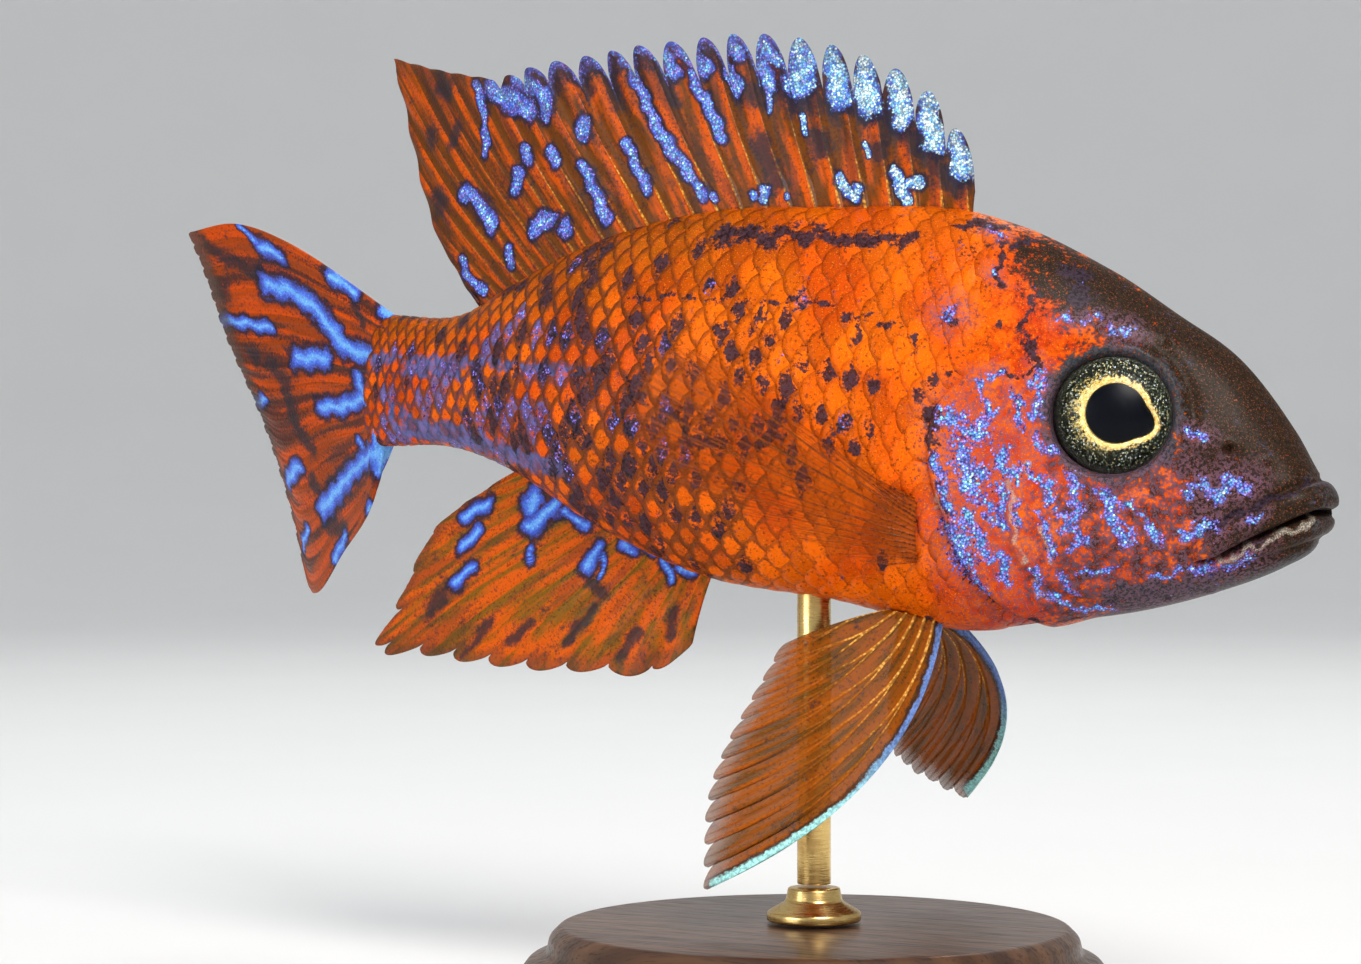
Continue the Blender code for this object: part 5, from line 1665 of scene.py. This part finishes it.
def finish_fish(name, on_scales):
    made, tree, shader = finish_for(name, Specular_IOR_Level=0.07, Coat_Weight=0.08, Coat_Roughness=0.26)
    read = read_values(tree, "olive", "red", "grey", "cool", "haze", "dark", "band", "pale")
    glitter, tone, net, cool = value_of(tree, "glitter"), 0.5, 0.0, 0.14
    height = noise(tree, 0.30, 0.0)
    if on_scales:
        net, tone, cool = scale_net(tree), value_of(tree, "tone"), 0.02
        blue = value_of(tree, "blue_spot")
        read["Dark"] = higher(tree, read["Dark"], value_of(tree, "spot"))
        read["Band"] = higher(tree, read["Band"], blue)
        glitter = higher(tree, glitter, times(tree, blue, 0.62))
        height = plus(tree, height, growth_rings(tree, height))
    pigment = use_group(tree, PIGMENT, Net=net, Tone=tone, **read)
    sparkle = use_group(tree, GLITTER, Value=glitter, Cool=cool)
    fill(tree, shader, Base_Color=blend(tree, sparkle["Mask"], pigment["Colour"], sparkle["Colour"]),
         Roughness=fit(tree, sparkle["Mask"], 0.0, 1.0, 0.42, 0.25), Normal=bumped(tree, height, 0.04))
    return made


SKIN_FINISH, SCALE_FINISH = finish_fish("wet_skin", False), finish_fish("wet_scale", True)
skin.data.materials.append(SKIN_FINISH)
for side in (RIGHT, LEFT):
    scales[side][0].data.materials.append(SCALE_FINISH)
print("finished the skin and", len(scales), "coats of scales")

# %% [markdown]
# ## Finishes of the fins
# Fin skin is clear and holds the same orange pigment and blue mirror cells as the body. One group
# builds every fin: warm streaks that run with the rays, golden beads on the rays near the root,
# blue marks with smoky outlines, a pale leading edge, and a rim that turns thin and clear.

# %% Strokes of the fins
TAIL_BLUE = {
    0.28: [(116.2, 13.7, 114.3, 12.6)],
    0.35: [(100.8, -5.9, 99.9, -6.3)],
    0.4: [(117.2, -3.4, 120.4, -4)],
    0.42: [(114.6, -16.3, 117.6, -18.4)],
    0.45: [(122, 4.2, 118.3, 4.2, 114.2, 4)],
    0.47: [(98.2, -12.2, 98.6, -12.6)],
    0.5: [(105.2, -15.9, 108.9, -18.6)],
    0.52: [(113.8, 12, 111.1, 11.3)],
    0.55: [(113.2, -9.6, 117.2, -11.6)],
    0.56: [(104.2, 10, 102.1, 9.2, 100.8, 8.5), (97, 7.3, 95.7, 6.8)],
    0.63: [(107.3, -3.2, 103.6, -2.9, 99.2, -1.6, 100.6, 0.3)],
    0.66: [(98.8, -1.7, 95.3, -1.9, 95.3, -4.3, 95.3, -6.5, 96.1, -8.6)],
    0.73: [(110.6, 1.3, 105.9, 1.7)],
    0.77: [(114.1, 8.3, 110.9, 8.1, 107.3, 6.8, 105, 5, 102.7, 3.1, 99.7, 2.5, 96.4, 2.7),
          (95.3, -6.6, 99, -7.5, 102.3, -9.1, 106.3, -11.4, 110.2, -13.7)],
}
TAIL_DUSK = {
    0.38: [(101.1, 7.6, 99.3, 5.7)],
    0.47: [(110.9, -10.7, 110.9, -11.7)],
    0.52: [(113.2, -1, 112.4, -2.9, 112.6, -4.5, 111.6, -6.4, 110, -7.5),
          (114.1, 9.1, 118.8, 10.5, 121.1, 11.4)],
    0.56: [(118.1, 1.1, 117.6, 0.9), (114.8, 0.2, 113.2, -1)],
    0.61: [(105.4, -15.1, 108.5, -15.4, 110.7, -14.5)],
    0.66: [(121.3, 7, 120.9, 7.1)],
}
DORSAL_BLUE = {
    0.21: [(44, 26.3, 43.8, 25.2), (50.6, 21.2, 50.5, 20.9)],
    0.24: [(53.6, 29.8, 53.2, 28.7), (50.3, 28.4, 49.6, 26.9), (57.7, 20.7, 57.4, 20.2)],
    0.32: [(54, 20.9, 53.9, 20.6)],
    0.34: [(44.5, 22.6, 44.3, 22.3)],
    0.37: [(34.6, 26.2, 34.3, 24.7)],
    0.39: [(86.3, 12.5, 85.2, 11, 82.5, 10)],
    0.4: [(61.4, 31.5, 60.3, 29.3), (46, 23.2, 45.3, 21.8, 44.2, 21.5), (41.3, 24.1, 40.4, 22.9, 39.8, 21.5),
          (53, 21.6, 52.8, 20.7)],
    0.43: [(87.1, 29.4, 85.8, 27.2, 85, 24.8, 84.7, 22.7)],
    0.45: [(59.9, 29.4, 58.6, 27.4, 57.6, 25.9), (39.7, 23.2, 38.8, 23.6)],
    0.48: [(54.5, 32.5, 53.2, 30.6), (68.5, 32.2, 68, 31.8), (79.4, 23.3, 78.5, 22.4),
          (79.8, 14.3, 79.4, 12.7)],
    0.5: [(67.5, 31, 66, 29.1, 64.6, 26.8, 62.4, 24.2, 60.7, 22.6, 58.7, 20.5),
          (67.3, 24.6, 66, 22.5, 64.6, 20.8)],
    0.53: [(45.7, 32.3, 44.7, 29.9), (57.7, 31.9, 56.6, 30.3), (73.1, 16.9, 72.9, 16.6)],
    0.55: [(71.9, 22.3, 70.4, 20.2, 68.5, 17.7)],
    0.56: [(75.8, 23.3, 75.4, 22.4), (73.2, 16.5, 72.9, 16.1)],
    0.58: [(64.4, 33, 63, 31.4)],
    0.61: [(79.8, 21.3, 80.1, 19.7)],
    0.65: [(87.3, 19, 85.6, 18.7, 83.5, 17.1, 82.5, 16.1)],
    0.66: [(54.9, 34.8, 54.2, 34, 53.1, 33.2)],
    0.69: [(62.6, 33.5, 60, 31.9), (72.5, 26, 72.1, 25.4)],
    0.71: [(36.2, 28.1, 35.6, 25.6, 35.1, 24.6), (58, 34.5, 56.9, 33.3)],
    0.74: [(81.6, 30.2, 77.2, 28.7, 77, 26.9)],
    0.78: [(76.8, 16.3, 75.4, 17.1)],
    0.85: [(41.9, 32.2, 41.2, 30.4, 41, 28.7)],
    0.87: [(84.7, 29, 81.5, 27.9, 79.4, 27.1)],
    0.95: [(38.9, 30.8, 38.8, 29, 37.8, 27.1), (45, 33.9, 44.7, 32, 43.8, 29.8),
          (48.7, 34.4, 47.6, 32.5, 46.8, 30.2)],
    1.16: [(51.3, 34.6, 50.6, 33.1, 50.8, 31.1)],
}
DORSAL_DUSK = {
    0.32: [(51.6, 22.4, 51.5, 21.8)],
    0.43: [(89.5, 24.8, 89.8, 23.7)],
    0.45: [(64.6, 31.7, 62.7, 29)],
    0.48: [(48.8, 26.6, 47.7, 25.6), (42.9, 25.9, 42.8, 25.6), (93.6, 25, 93.2, 23.6)],
    0.55: [(53.9, 26, 52.9, 23.9, 51.7, 22.1)],
    0.58: [(73.9, 31.3, 72.5, 29.4), (72, 32, 69.8, 30, 68.9, 28.2)],
    0.61: [(93.6, 30.6, 91.8, 28.9, 93, 28.6)],
    0.69: [(34.2, 23.7, 36.6, 24, 38.5, 25.8, 40.6, 27.4, 43.4, 29, 46.1, 29.5, 49.4, 29.8, 52.6, 29.9, 55.7,
          29.9), (91.1, 18.3, 90.6, 17.4)],
}
ANAL_BLUE = {
    0.25: [(65.1, -13, 65.5, -14.8)],
    0.34: [(61.1, -11.3, 59.8, -12)],
    0.37: [(73.6, -14.6, 73.5, -13.4), (58.8, -12.6, 58.3, -13.8, 58, -14.4), (57.4, -12.9, 55.9, -13.4)],
    0.46: [(69.6, -9.5, 68.2, -10.1, 67.1, -10.4), (63, -11.6, 62.2, -12.2)],
    0.51: [(67.1, -14.5, 66.3, -12.9, 65.7, -12.2)],
    0.55: [(82.3, -14.4, 81.5, -13.5, 80.4, -12.5), (82.8, -17.8, 81.7, -16.8, 80.5, -15.9)],
    0.62: [(82.4, -11.4, 80.8, -10.5, 79.5, -9.8)],
    0.74: [(74, -11.4, 72.3, -10.2, 70.9, -8.7)],
    0.92: [(74.2, -9.5, 73.4, -8.5)],
}
ANAL_DUSK = {
    0.28: [(65.7, -17.9, 68.7, -21.5)],
    0.3: [(77.6, -20.6, 80.7, -24.3)],
    0.32: [(72.8, -19.9, 75.1, -22.4), (57.5, -16.9, 57.8, -19.2)],
    0.34: [(60.8, -19.3, 62.6, -21.8)],
    0.37: [(66.6, -15.4, 65.1, -16.4)],
    0.57: [(83.9, -18.6, 85.7, -20.8)],
}


# %% Ground of a fin
def fin_ground(tree, given, fine):
    """Streaks that run with the rays, specks, gold beads on the rays and dark patches."""
    on_fin = put(tree, "CombineXYZ", None, X=given["Across"], Y=times(tree, given["Reach"], 1.4)).outputs[0]
    streaks = put(tree, "TexNoise", None, Vector=on_fin, Scale=2.1, Detail=2.0, Roughness=0.6).outputs["Fac"]
    blots = put(tree, "TexNoise", None, Vector=on_fin, Scale=1.25, Detail=1.0, Roughness=0.6).outputs["Fac"]
    between = times(tree, calc(tree, "FRACT", given["Across"]), given["Stripe"])
    streaks = fit(tree, plus(tree, streaks, about(tree, between, 0.3, 0.35)), 0.36, 0.64)
    speckle = times(tree, fit(tree, fine, 0.52, 0.68), 0.6)
    fade = times(tree, fit(tree, given["Reach"], 0.35, 0.60, 1.0, 0.35),
                 fit(tree, given["Across"], 15.0, 18.0, 1.0, 0.3))
    dots = times(tree, fit(tree, cells_of(tree, 0.32)["Distance"], 0.62, 0.2, 0.2, 1.0),
                 times(tree, given["Beads"], fade))
    beads = times(tree, fit(tree, given["Ray"], 0.35, 0.8), dots)
    bead = blend(tree, fit(tree, given["Reach"], 0.25, 0.8), given["Ray Colour"], given["Tip Colour"])
    patches = fit(tree, plus(tree, blots, times(tree, fine, 0.35)), 0.68, 0.80)
    return layered(tree, blend(tree, streaks, given["Streak A"], given["Streak B"]),
                   (speckle, (0.085, 0.026, 0.008)), (beads, bead),
                   (times(tree, patches, given["Mottle"]), (0.050, 0.026, 0.024)))


# %% Marks of a fin
FIN_BLUES = [(0.0, (0.055, 0.065, 0.26)), (0.4, (0.075, 0.14, 0.62)), (0.75, (0.10, 0.25, 0.82)),
             (1.0, (0.20, 0.50, 0.95))]
FIN_NUMBERS = ("Ray", "Reach", "Across", "Edge", "Blue", "Dusk", "Cool", "Lead", "Beads", "Grains", "Smoke",
               "Stripe", "Mottle")


def fin_blue(tree, given, fine):
    """Blue marks, in grains of mirror cells or in soft shades of one blue."""
    sparkle = use_group(tree, GLITTER, Value=plus(tree, given["Blue"], 0.05), Cool=given["Cool"])
    core = plus(tree, given["Blue"], about(tree, fine, 0.5))
    soft = ramp(tree, fit(tree, core, 0.42, 1.0), FIN_BLUES)
    return blend(tree, times(tree, given["Grains"], sparkle["Mask"]), soft, sparkle["Colour"])


def fin_group():
    """Colour and cover of a fin from its ray pattern and marks."""
    tree, given, out = shader_group("Fin skin", FIN_NUMBERS, {"Colour": "Color", "Cover": "Float"},
                                    ("Streak A", "Streak B", "Ray Colour", "Tip Colour"))
    fine, fray = noise(tree, 0.26, 2.0, 0.7), use_group(tree, FRAY)["Fray"]
    dusk = times(tree, ragged(tree, fray, given["Dusk"], 0.42, 1.0, 0.36), 0.88)
    outline = times(tree, ragged(tree, fray, given["Blue"], 0.19, 0.5, 0.15), 0.9)
    mark = ragged(tree, fray, given["Blue"], 0.46, 0.55, 0.08)
    smoke = times(tree, ragged(tree, fray, fit(tree, given["Edge"], 3.2, 0.0), 0.5, 0.9, 0.35),
                  given["Smoke"])
    lead = ragged(tree, fray, given["Lead"], 0.5, 0.5, 0.1)
    shadow = times(tree, ragged(tree, fray, given["Lead"], 0.22, 0.4, 0.12), 0.8)
    pale = blend(tree, fit(tree, given["Reach"], 0.35, 0.75), (0.16, 0.25, 0.52), (0.42, 0.80, 0.78))
    pale = scaled(tree, pale, fit(tree, fine, 0.35, 0.65, 1.2, 0.65))
    fill(tree, out, Cover=higher(tree, higher(tree, mark, given["Ray"]), lead), Colour=layered(
        tree, fin_ground(tree, given, fine), (dusk, (0.040, 0.030, 0.036)), (outline, (0.026, 0.022, 0.042)),
        (mark, fin_blue(tree, given, fine)), (smoke, (0.085, 0.045, 0.028)), (shadow, (0.03, 0.022, 0.02)),
        (lead, pale)))
    return tree


FIN_SKIN = fin_group()
print("group", FIN_SKIN.name, "with", len(FIN_SKIN.nodes), "nodes")


# %% Finishes made with it
BRANCHES = 3


def fine_branches(tree, values, forks):
    """Faint lines between the rays, where they fork."""
    comb = calc(tree, "SINE", times(tree, values["Across"], 2 * math.pi * BRANCHES))
    return times(tree, fit(tree, comb, 0.1, 0.95, 0.0, forks), fit(tree, values["Reach"], 0.1, 0.35))


def finish_fin(name, looks, clear=1.0, ray_cover=1.0, rim_clear=1.0, forks=0.0):
    """One fin's finish. Clear is the membrane's cover, ray_cover the rays', rim_clear the outer rim's,
    and forks how dark the fine branches between the rays are."""
    made, tree, shader = finish_for(name, Roughness=0.42, Specular_IOR_Level=0.12, Coat_Weight=0.08,
                                    Coat_Roughness=0.12)
    values = read_values(tree, "ray", "reach", "across", "edge", "blue", "dusk", "cool", "lead")
    if forks:
        values["Ray"] = higher(tree, values["Ray"], fine_branches(tree, values, forks))
    fin = use_group(tree, FIN_SKIN, **values, **looks)
    fill(tree, shader, Base_Color=fin["Colour"], Normal=bumped(tree, noise(tree, 0.28, 0.0), 0.04))
    if clear < 1.0 or rim_clear < 1.0:
        cover = fit(tree, fin["Cover"], 0.1, 0.9, clear, ray_cover)
        cover = higher(tree, cover, fit(tree, values["Reach"], 0.0, 0.25, 1.0, 0.0))
        rim = fit(tree, values["Edge"], 0.0, 3.0, rim_clear, 1.0)
        fill(tree, shader, Alpha=times(tree, cover, rim))
    return made


def fin_looks(streak_a, streak_b, ray_colour, tip_colour, **numbers):
    return dict(Streak_A=streak_a, Streak_B=streak_b, Ray_Colour=ray_colour, Tip_Colour=tip_colour, **numbers)


RAY_DARK = (0.07, 0.022, 0.015)
FIN_FINISHES = {
    "dorsal": finish_fin("dorsal_fin_finish", fin_looks(
        (0.60, 0.100, 0.003), (0.16, 0.052, 0.007), (0.88, 0.46, 0.07), (0.22, 0.42, 0.45),
        Beads=0.75, Grains=0.9, Smoke=0.35, Stripe=1.0, Mottle=0.5)),
    "anal": finish_fin("anal_fin_finish", fin_looks(
        (0.68, 0.120, 0.003), (0.25, 0.115, 0.008), (0.60, 0.22, 0.01), (0.75, 0.20, 0.01),
        Beads=0.5, Grains=0.15, Smoke=0.35, Stripe=0.5, Mottle=0.35), rim_clear=0.85),
    "tail": finish_fin("tail_fin_finish", fin_looks(
        (0.60, 0.085, 0.002), (0.34, 0.060, 0.004), (0.55, 0.10, 0.01), (0.40, 0.07, 0.01),
        Beads=0.7, Grains=0.2, Smoke=0.75, Stripe=0.9, Mottle=0.8), rim_clear=0.7),
    "pelvic": finish_fin("pelvic_fin_finish", fin_looks(
        (0.36, 0.095, 0.002), (0.16, 0.062, 0.004), (0.90, 0.50, 0.12), (0.55, 0.13, 0.02),
        Beads=0.95, Smoke=0.2, Stripe=0.4), clear=0.78, rim_clear=0.6),
    "pectoral": finish_fin("pectoral_fin_finish", fin_looks(
        (0.40, 0.080, 0.005), (0.20, 0.06, 0.01), RAY_DARK, RAY_DARK, Beads=0.9),
        clear=0.09, ray_cover=0.85, rim_clear=0.8, forks=0.4),
}
print("fin finishes", list(FIN_FINISHES))


# %% Marks and finish of each fin
LEAD_WIDTH = 0.50
CAP_DEPTH = 1.5
WIDER = {"tail": 1.4, "dorsal": 1.1, "anal": 1.15}
FIN_MARKS = {"tail": (TAIL_BLUE, TAIL_DUSK), "dorsal": (DORSAL_BLUE, DORSAL_DUSK),
             "anal": (ANAL_BLUE, ANAL_DUSK)}


def flap_value(grid, s):
    """Faint blue caps on the rear flaps, where the mirror cells lie thinner."""
    from_rim = np.linalg.norm(grid - grid[-1:], axis=2)
    caps = np.clip(1.0 - 0.5 * from_rim / CAP_DEPTH, 0.0, 1.0)
    return 0.62 * caps * ease(s, 46.0, 54.0) * (1 - ease(s, 78.0, 90.0))


def lead_value(grid):
    """1 on the fin's front edge, 0.5 at the pale edge's inner side."""
    from_lead = np.linalg.norm(grid[:, :, None] - grid[:, 0], axis=3).min(axis=2)
    return np.clip(1 - 0.5 * from_lead / LEAD_WIDTH, 0.0, 1.0)


def finish_all_fins():
    """Write each fin's marks to its points and give it its finish."""
    for key, (fin, grid) in fins.items():
        kind = key.split("_")[0]
        s, z = -grid[..., 0], grid[..., 2]
        s, z = s + 0.16 * np.sin(2.3 * z + s), z + 0.16 * np.sin(2.1 * s - z)
        blue, dusk = FIN_MARKS.get(kind, ({}, {}))
        values = {"blue": stroke_value(s, z, blue, WIDER.get(kind, 1.0)),
                  "dusk": stroke_value(s, z, dusk, 1.5), "cool": 0 * s + 0.12, "lead": 0 * s}
        if kind == "dorsal":
            values["blue"] = np.maximum(values["blue"], flap_value(grid, s))
            values["cool"] += 0.46 * (1 - ease(s, 42.0, 60.0))
        if kind == "pelvic":
            values["lead"] = lead_value(grid)
        add_values(fin, both_faces(values))
        fin.data.materials.append(FIN_FINISHES[kind])


finish_all_fins()
print("finished fins", list(fins))

# %% [markdown]
# ## Finishes of the eyes
# The pupil is not a disc of paint but the dark lens. Round it runs a gold ring, with cream round
# it at the back, and outside that the iris is almost black, full of gold, silver and green flecks.
# The shell is clear and bends light a little. It isn't quite smooth, so that it carries one soft
# shine and no hard speckles.

# %% Eye finishes
IRIS_FLECKS = [(0.0, (0.007, 0.009, 0.006)), (0.42, (0.028, 0.033, 0.016)), (0.60, (0.12, 0.14, 0.07)),
               (0.74, (0.32, 0.40, 0.36)), (0.86, (0.50, 0.42, 0.16)), (1.0, (0.60, 0.68, 0.74))]


def finish_iris():
    made, tree, shader = finish_for("iris_flecks", Roughness=0.5, Specular_IOR_Level=0.05)
    pupil, radius, turn = value_of(tree, "pupil"), value_of(tree, "radius"), value_of(tree, "turn")
    cells, fine = cells_of(tree, 0.17), noise(tree, 0.3, 2.0)
    split = split_colour(tree, cells["Color"])
    flecks = ramp(tree, plus(tree, split[0], about(tree, fine, 0.6)), IRIS_FLECKS)
    ground = blend(tree, fit(tree, cells["Distance"], 0.2, 0.65), flecks, (0.008, 0.009, 0.007))
    spread = plus(tree, pupil, times(tree, plus(tree, split[1], fine), 1.3))
    cream = times(tree, fit(tree, turn, 0.1, -0.8, 0.0, 0.75), fit(tree, spread, 2.4, 1.6))
    edge = plus(tree, pupil, about(tree, fine, 1.1))
    ring = times(tree, fit(tree, pupil, 0.0, 0.10), fit(tree, edge, 0.66, 0.36))
    gold = blend(tree, split[2], (0.74, 0.44, 0.10), (0.93, 0.78, 0.40))
    outer = fit(tree, plus(tree, radius, times(tree, split[1], 0.05)), 0.86, 0.93)
    colour = layered(tree, ground, (cream, (0.66, 0.50, 0.17)), (ring, gold), (outer, (0.060, 0.062, 0.050)),
                     (fit(tree, radius, 0.94, 0.975), (0.012, 0.011, 0.011)),
                     (fit(tree, pupil, 0.03, -0.05), (0.0012, 0.0022, 0.006)))
    flat_pupil = times(tree, cells["Distance"], fit(tree, pupil, 0.0, 0.2))
    fill(tree, shader, Base_Color=colour, Metallic=times(tree, ring, 0.3),
         Normal=bumped(tree, flat_pupil, 0.04))
    return made


def finish_clear():
    made, tree, shader = finish_for("clear_cornea", Roughness=0.28, Transmission_Weight=1.0, IOR=1.25)
    edge = put(tree, "LayerWeight", None, Blend=0.2).outputs["Facing"]
    fill(tree, shader, Base_Color=blend(tree, edge, (1.0, 1.0, 1.0), (0.93, 0.95, 0.97)))
    return made


IRIS, CLEAR = finish_iris(), finish_clear()
for clear, iris in eyes.values():
    clear.data.materials.append(CLEAR)
    iris.data.materials.append(IRIS)
print("eyes finished:", len(eyes))

# %% [markdown]
# ## Finishes of the stand
# The foot is walnut under a thin satin varnish. Its growth rings are bands warped by noise and
# drawn out along the grain. The metal is brass, brushed round by the lathe, a little warmer and
# duller where hands have touched it.

# %% Wood and brass
def drawn_out(tree, scale):
    """Places squeezed along some axes, so that noise on them is drawn out."""
    return put(tree, "Mapping", None, Vector=place_of(tree), Scale=scale).outputs[0]


def finish_wood():
    made, tree, shader = finish_for("walnut", Coat_Weight=0.3, Coat_Roughness=0.2)
    drawn = drawn_out(tree, (0.12, 1.0, 1.0))
    bands = put(tree, "TexWave", {"bands_direction": "Y"}, Vector=drawn, Scale=95.0, Distortion=4.5,
                Detail=3.0, Detail_Scale=1.2).outputs["Fac"]
    fibre = noise(tree, 0.35, place=drawn_out(tree, (0.07, 1.0, 1.0)))
    shade = plus(tree, times(tree, bands, 0.35), noise(tree, 7.0, place=drawn))
    grain = blend(tree, fit(tree, shade, 0.30, 1.05), (0.140, 0.066, 0.029), (0.055, 0.024, 0.012))
    pores = times(tree, fit(tree, fibre, 0.55, 0.66), 0.6)
    fill(tree, shader, Base_Color=blend(tree, pores, grain, (0.018, 0.008, 0.005)),
         Roughness=fit(tree, fibre, 0.4, 0.7, 0.36, 0.55), Normal=bumped(tree, fibre, 0.03))
    return made


def finish_brass():
    made, tree, shader = finish_for("brushed_brass", Metallic=1.0)
    brushed = noise(tree, 0.12, 2.0, place=drawn_out(tree, (0.05, 0.05, 1.0)))
    worn = noise(tree, 3.0)
    rough = plus(tree, times(tree, brushed, 0.5), times(tree, worn, 0.5))
    colour = blend(tree, fit(tree, worn, 0.35, 0.7), (0.78, 0.57, 0.24), (0.60, 0.40, 0.16))
    fill(tree, shader, Base_Color=colour, Roughness=fit(tree, rough, 0.3, 0.7, 0.18, 0.36),
         Normal=bumped(tree, brushed, 0.012))
    return made


WALNUT, BRASS = finish_wood(), finish_brass()
stand_base.data.materials.append(WALNUT)
for piece in (stand_collar, stand_rod):
    piece.data.materials.append(BRASS)
print("stand finished")
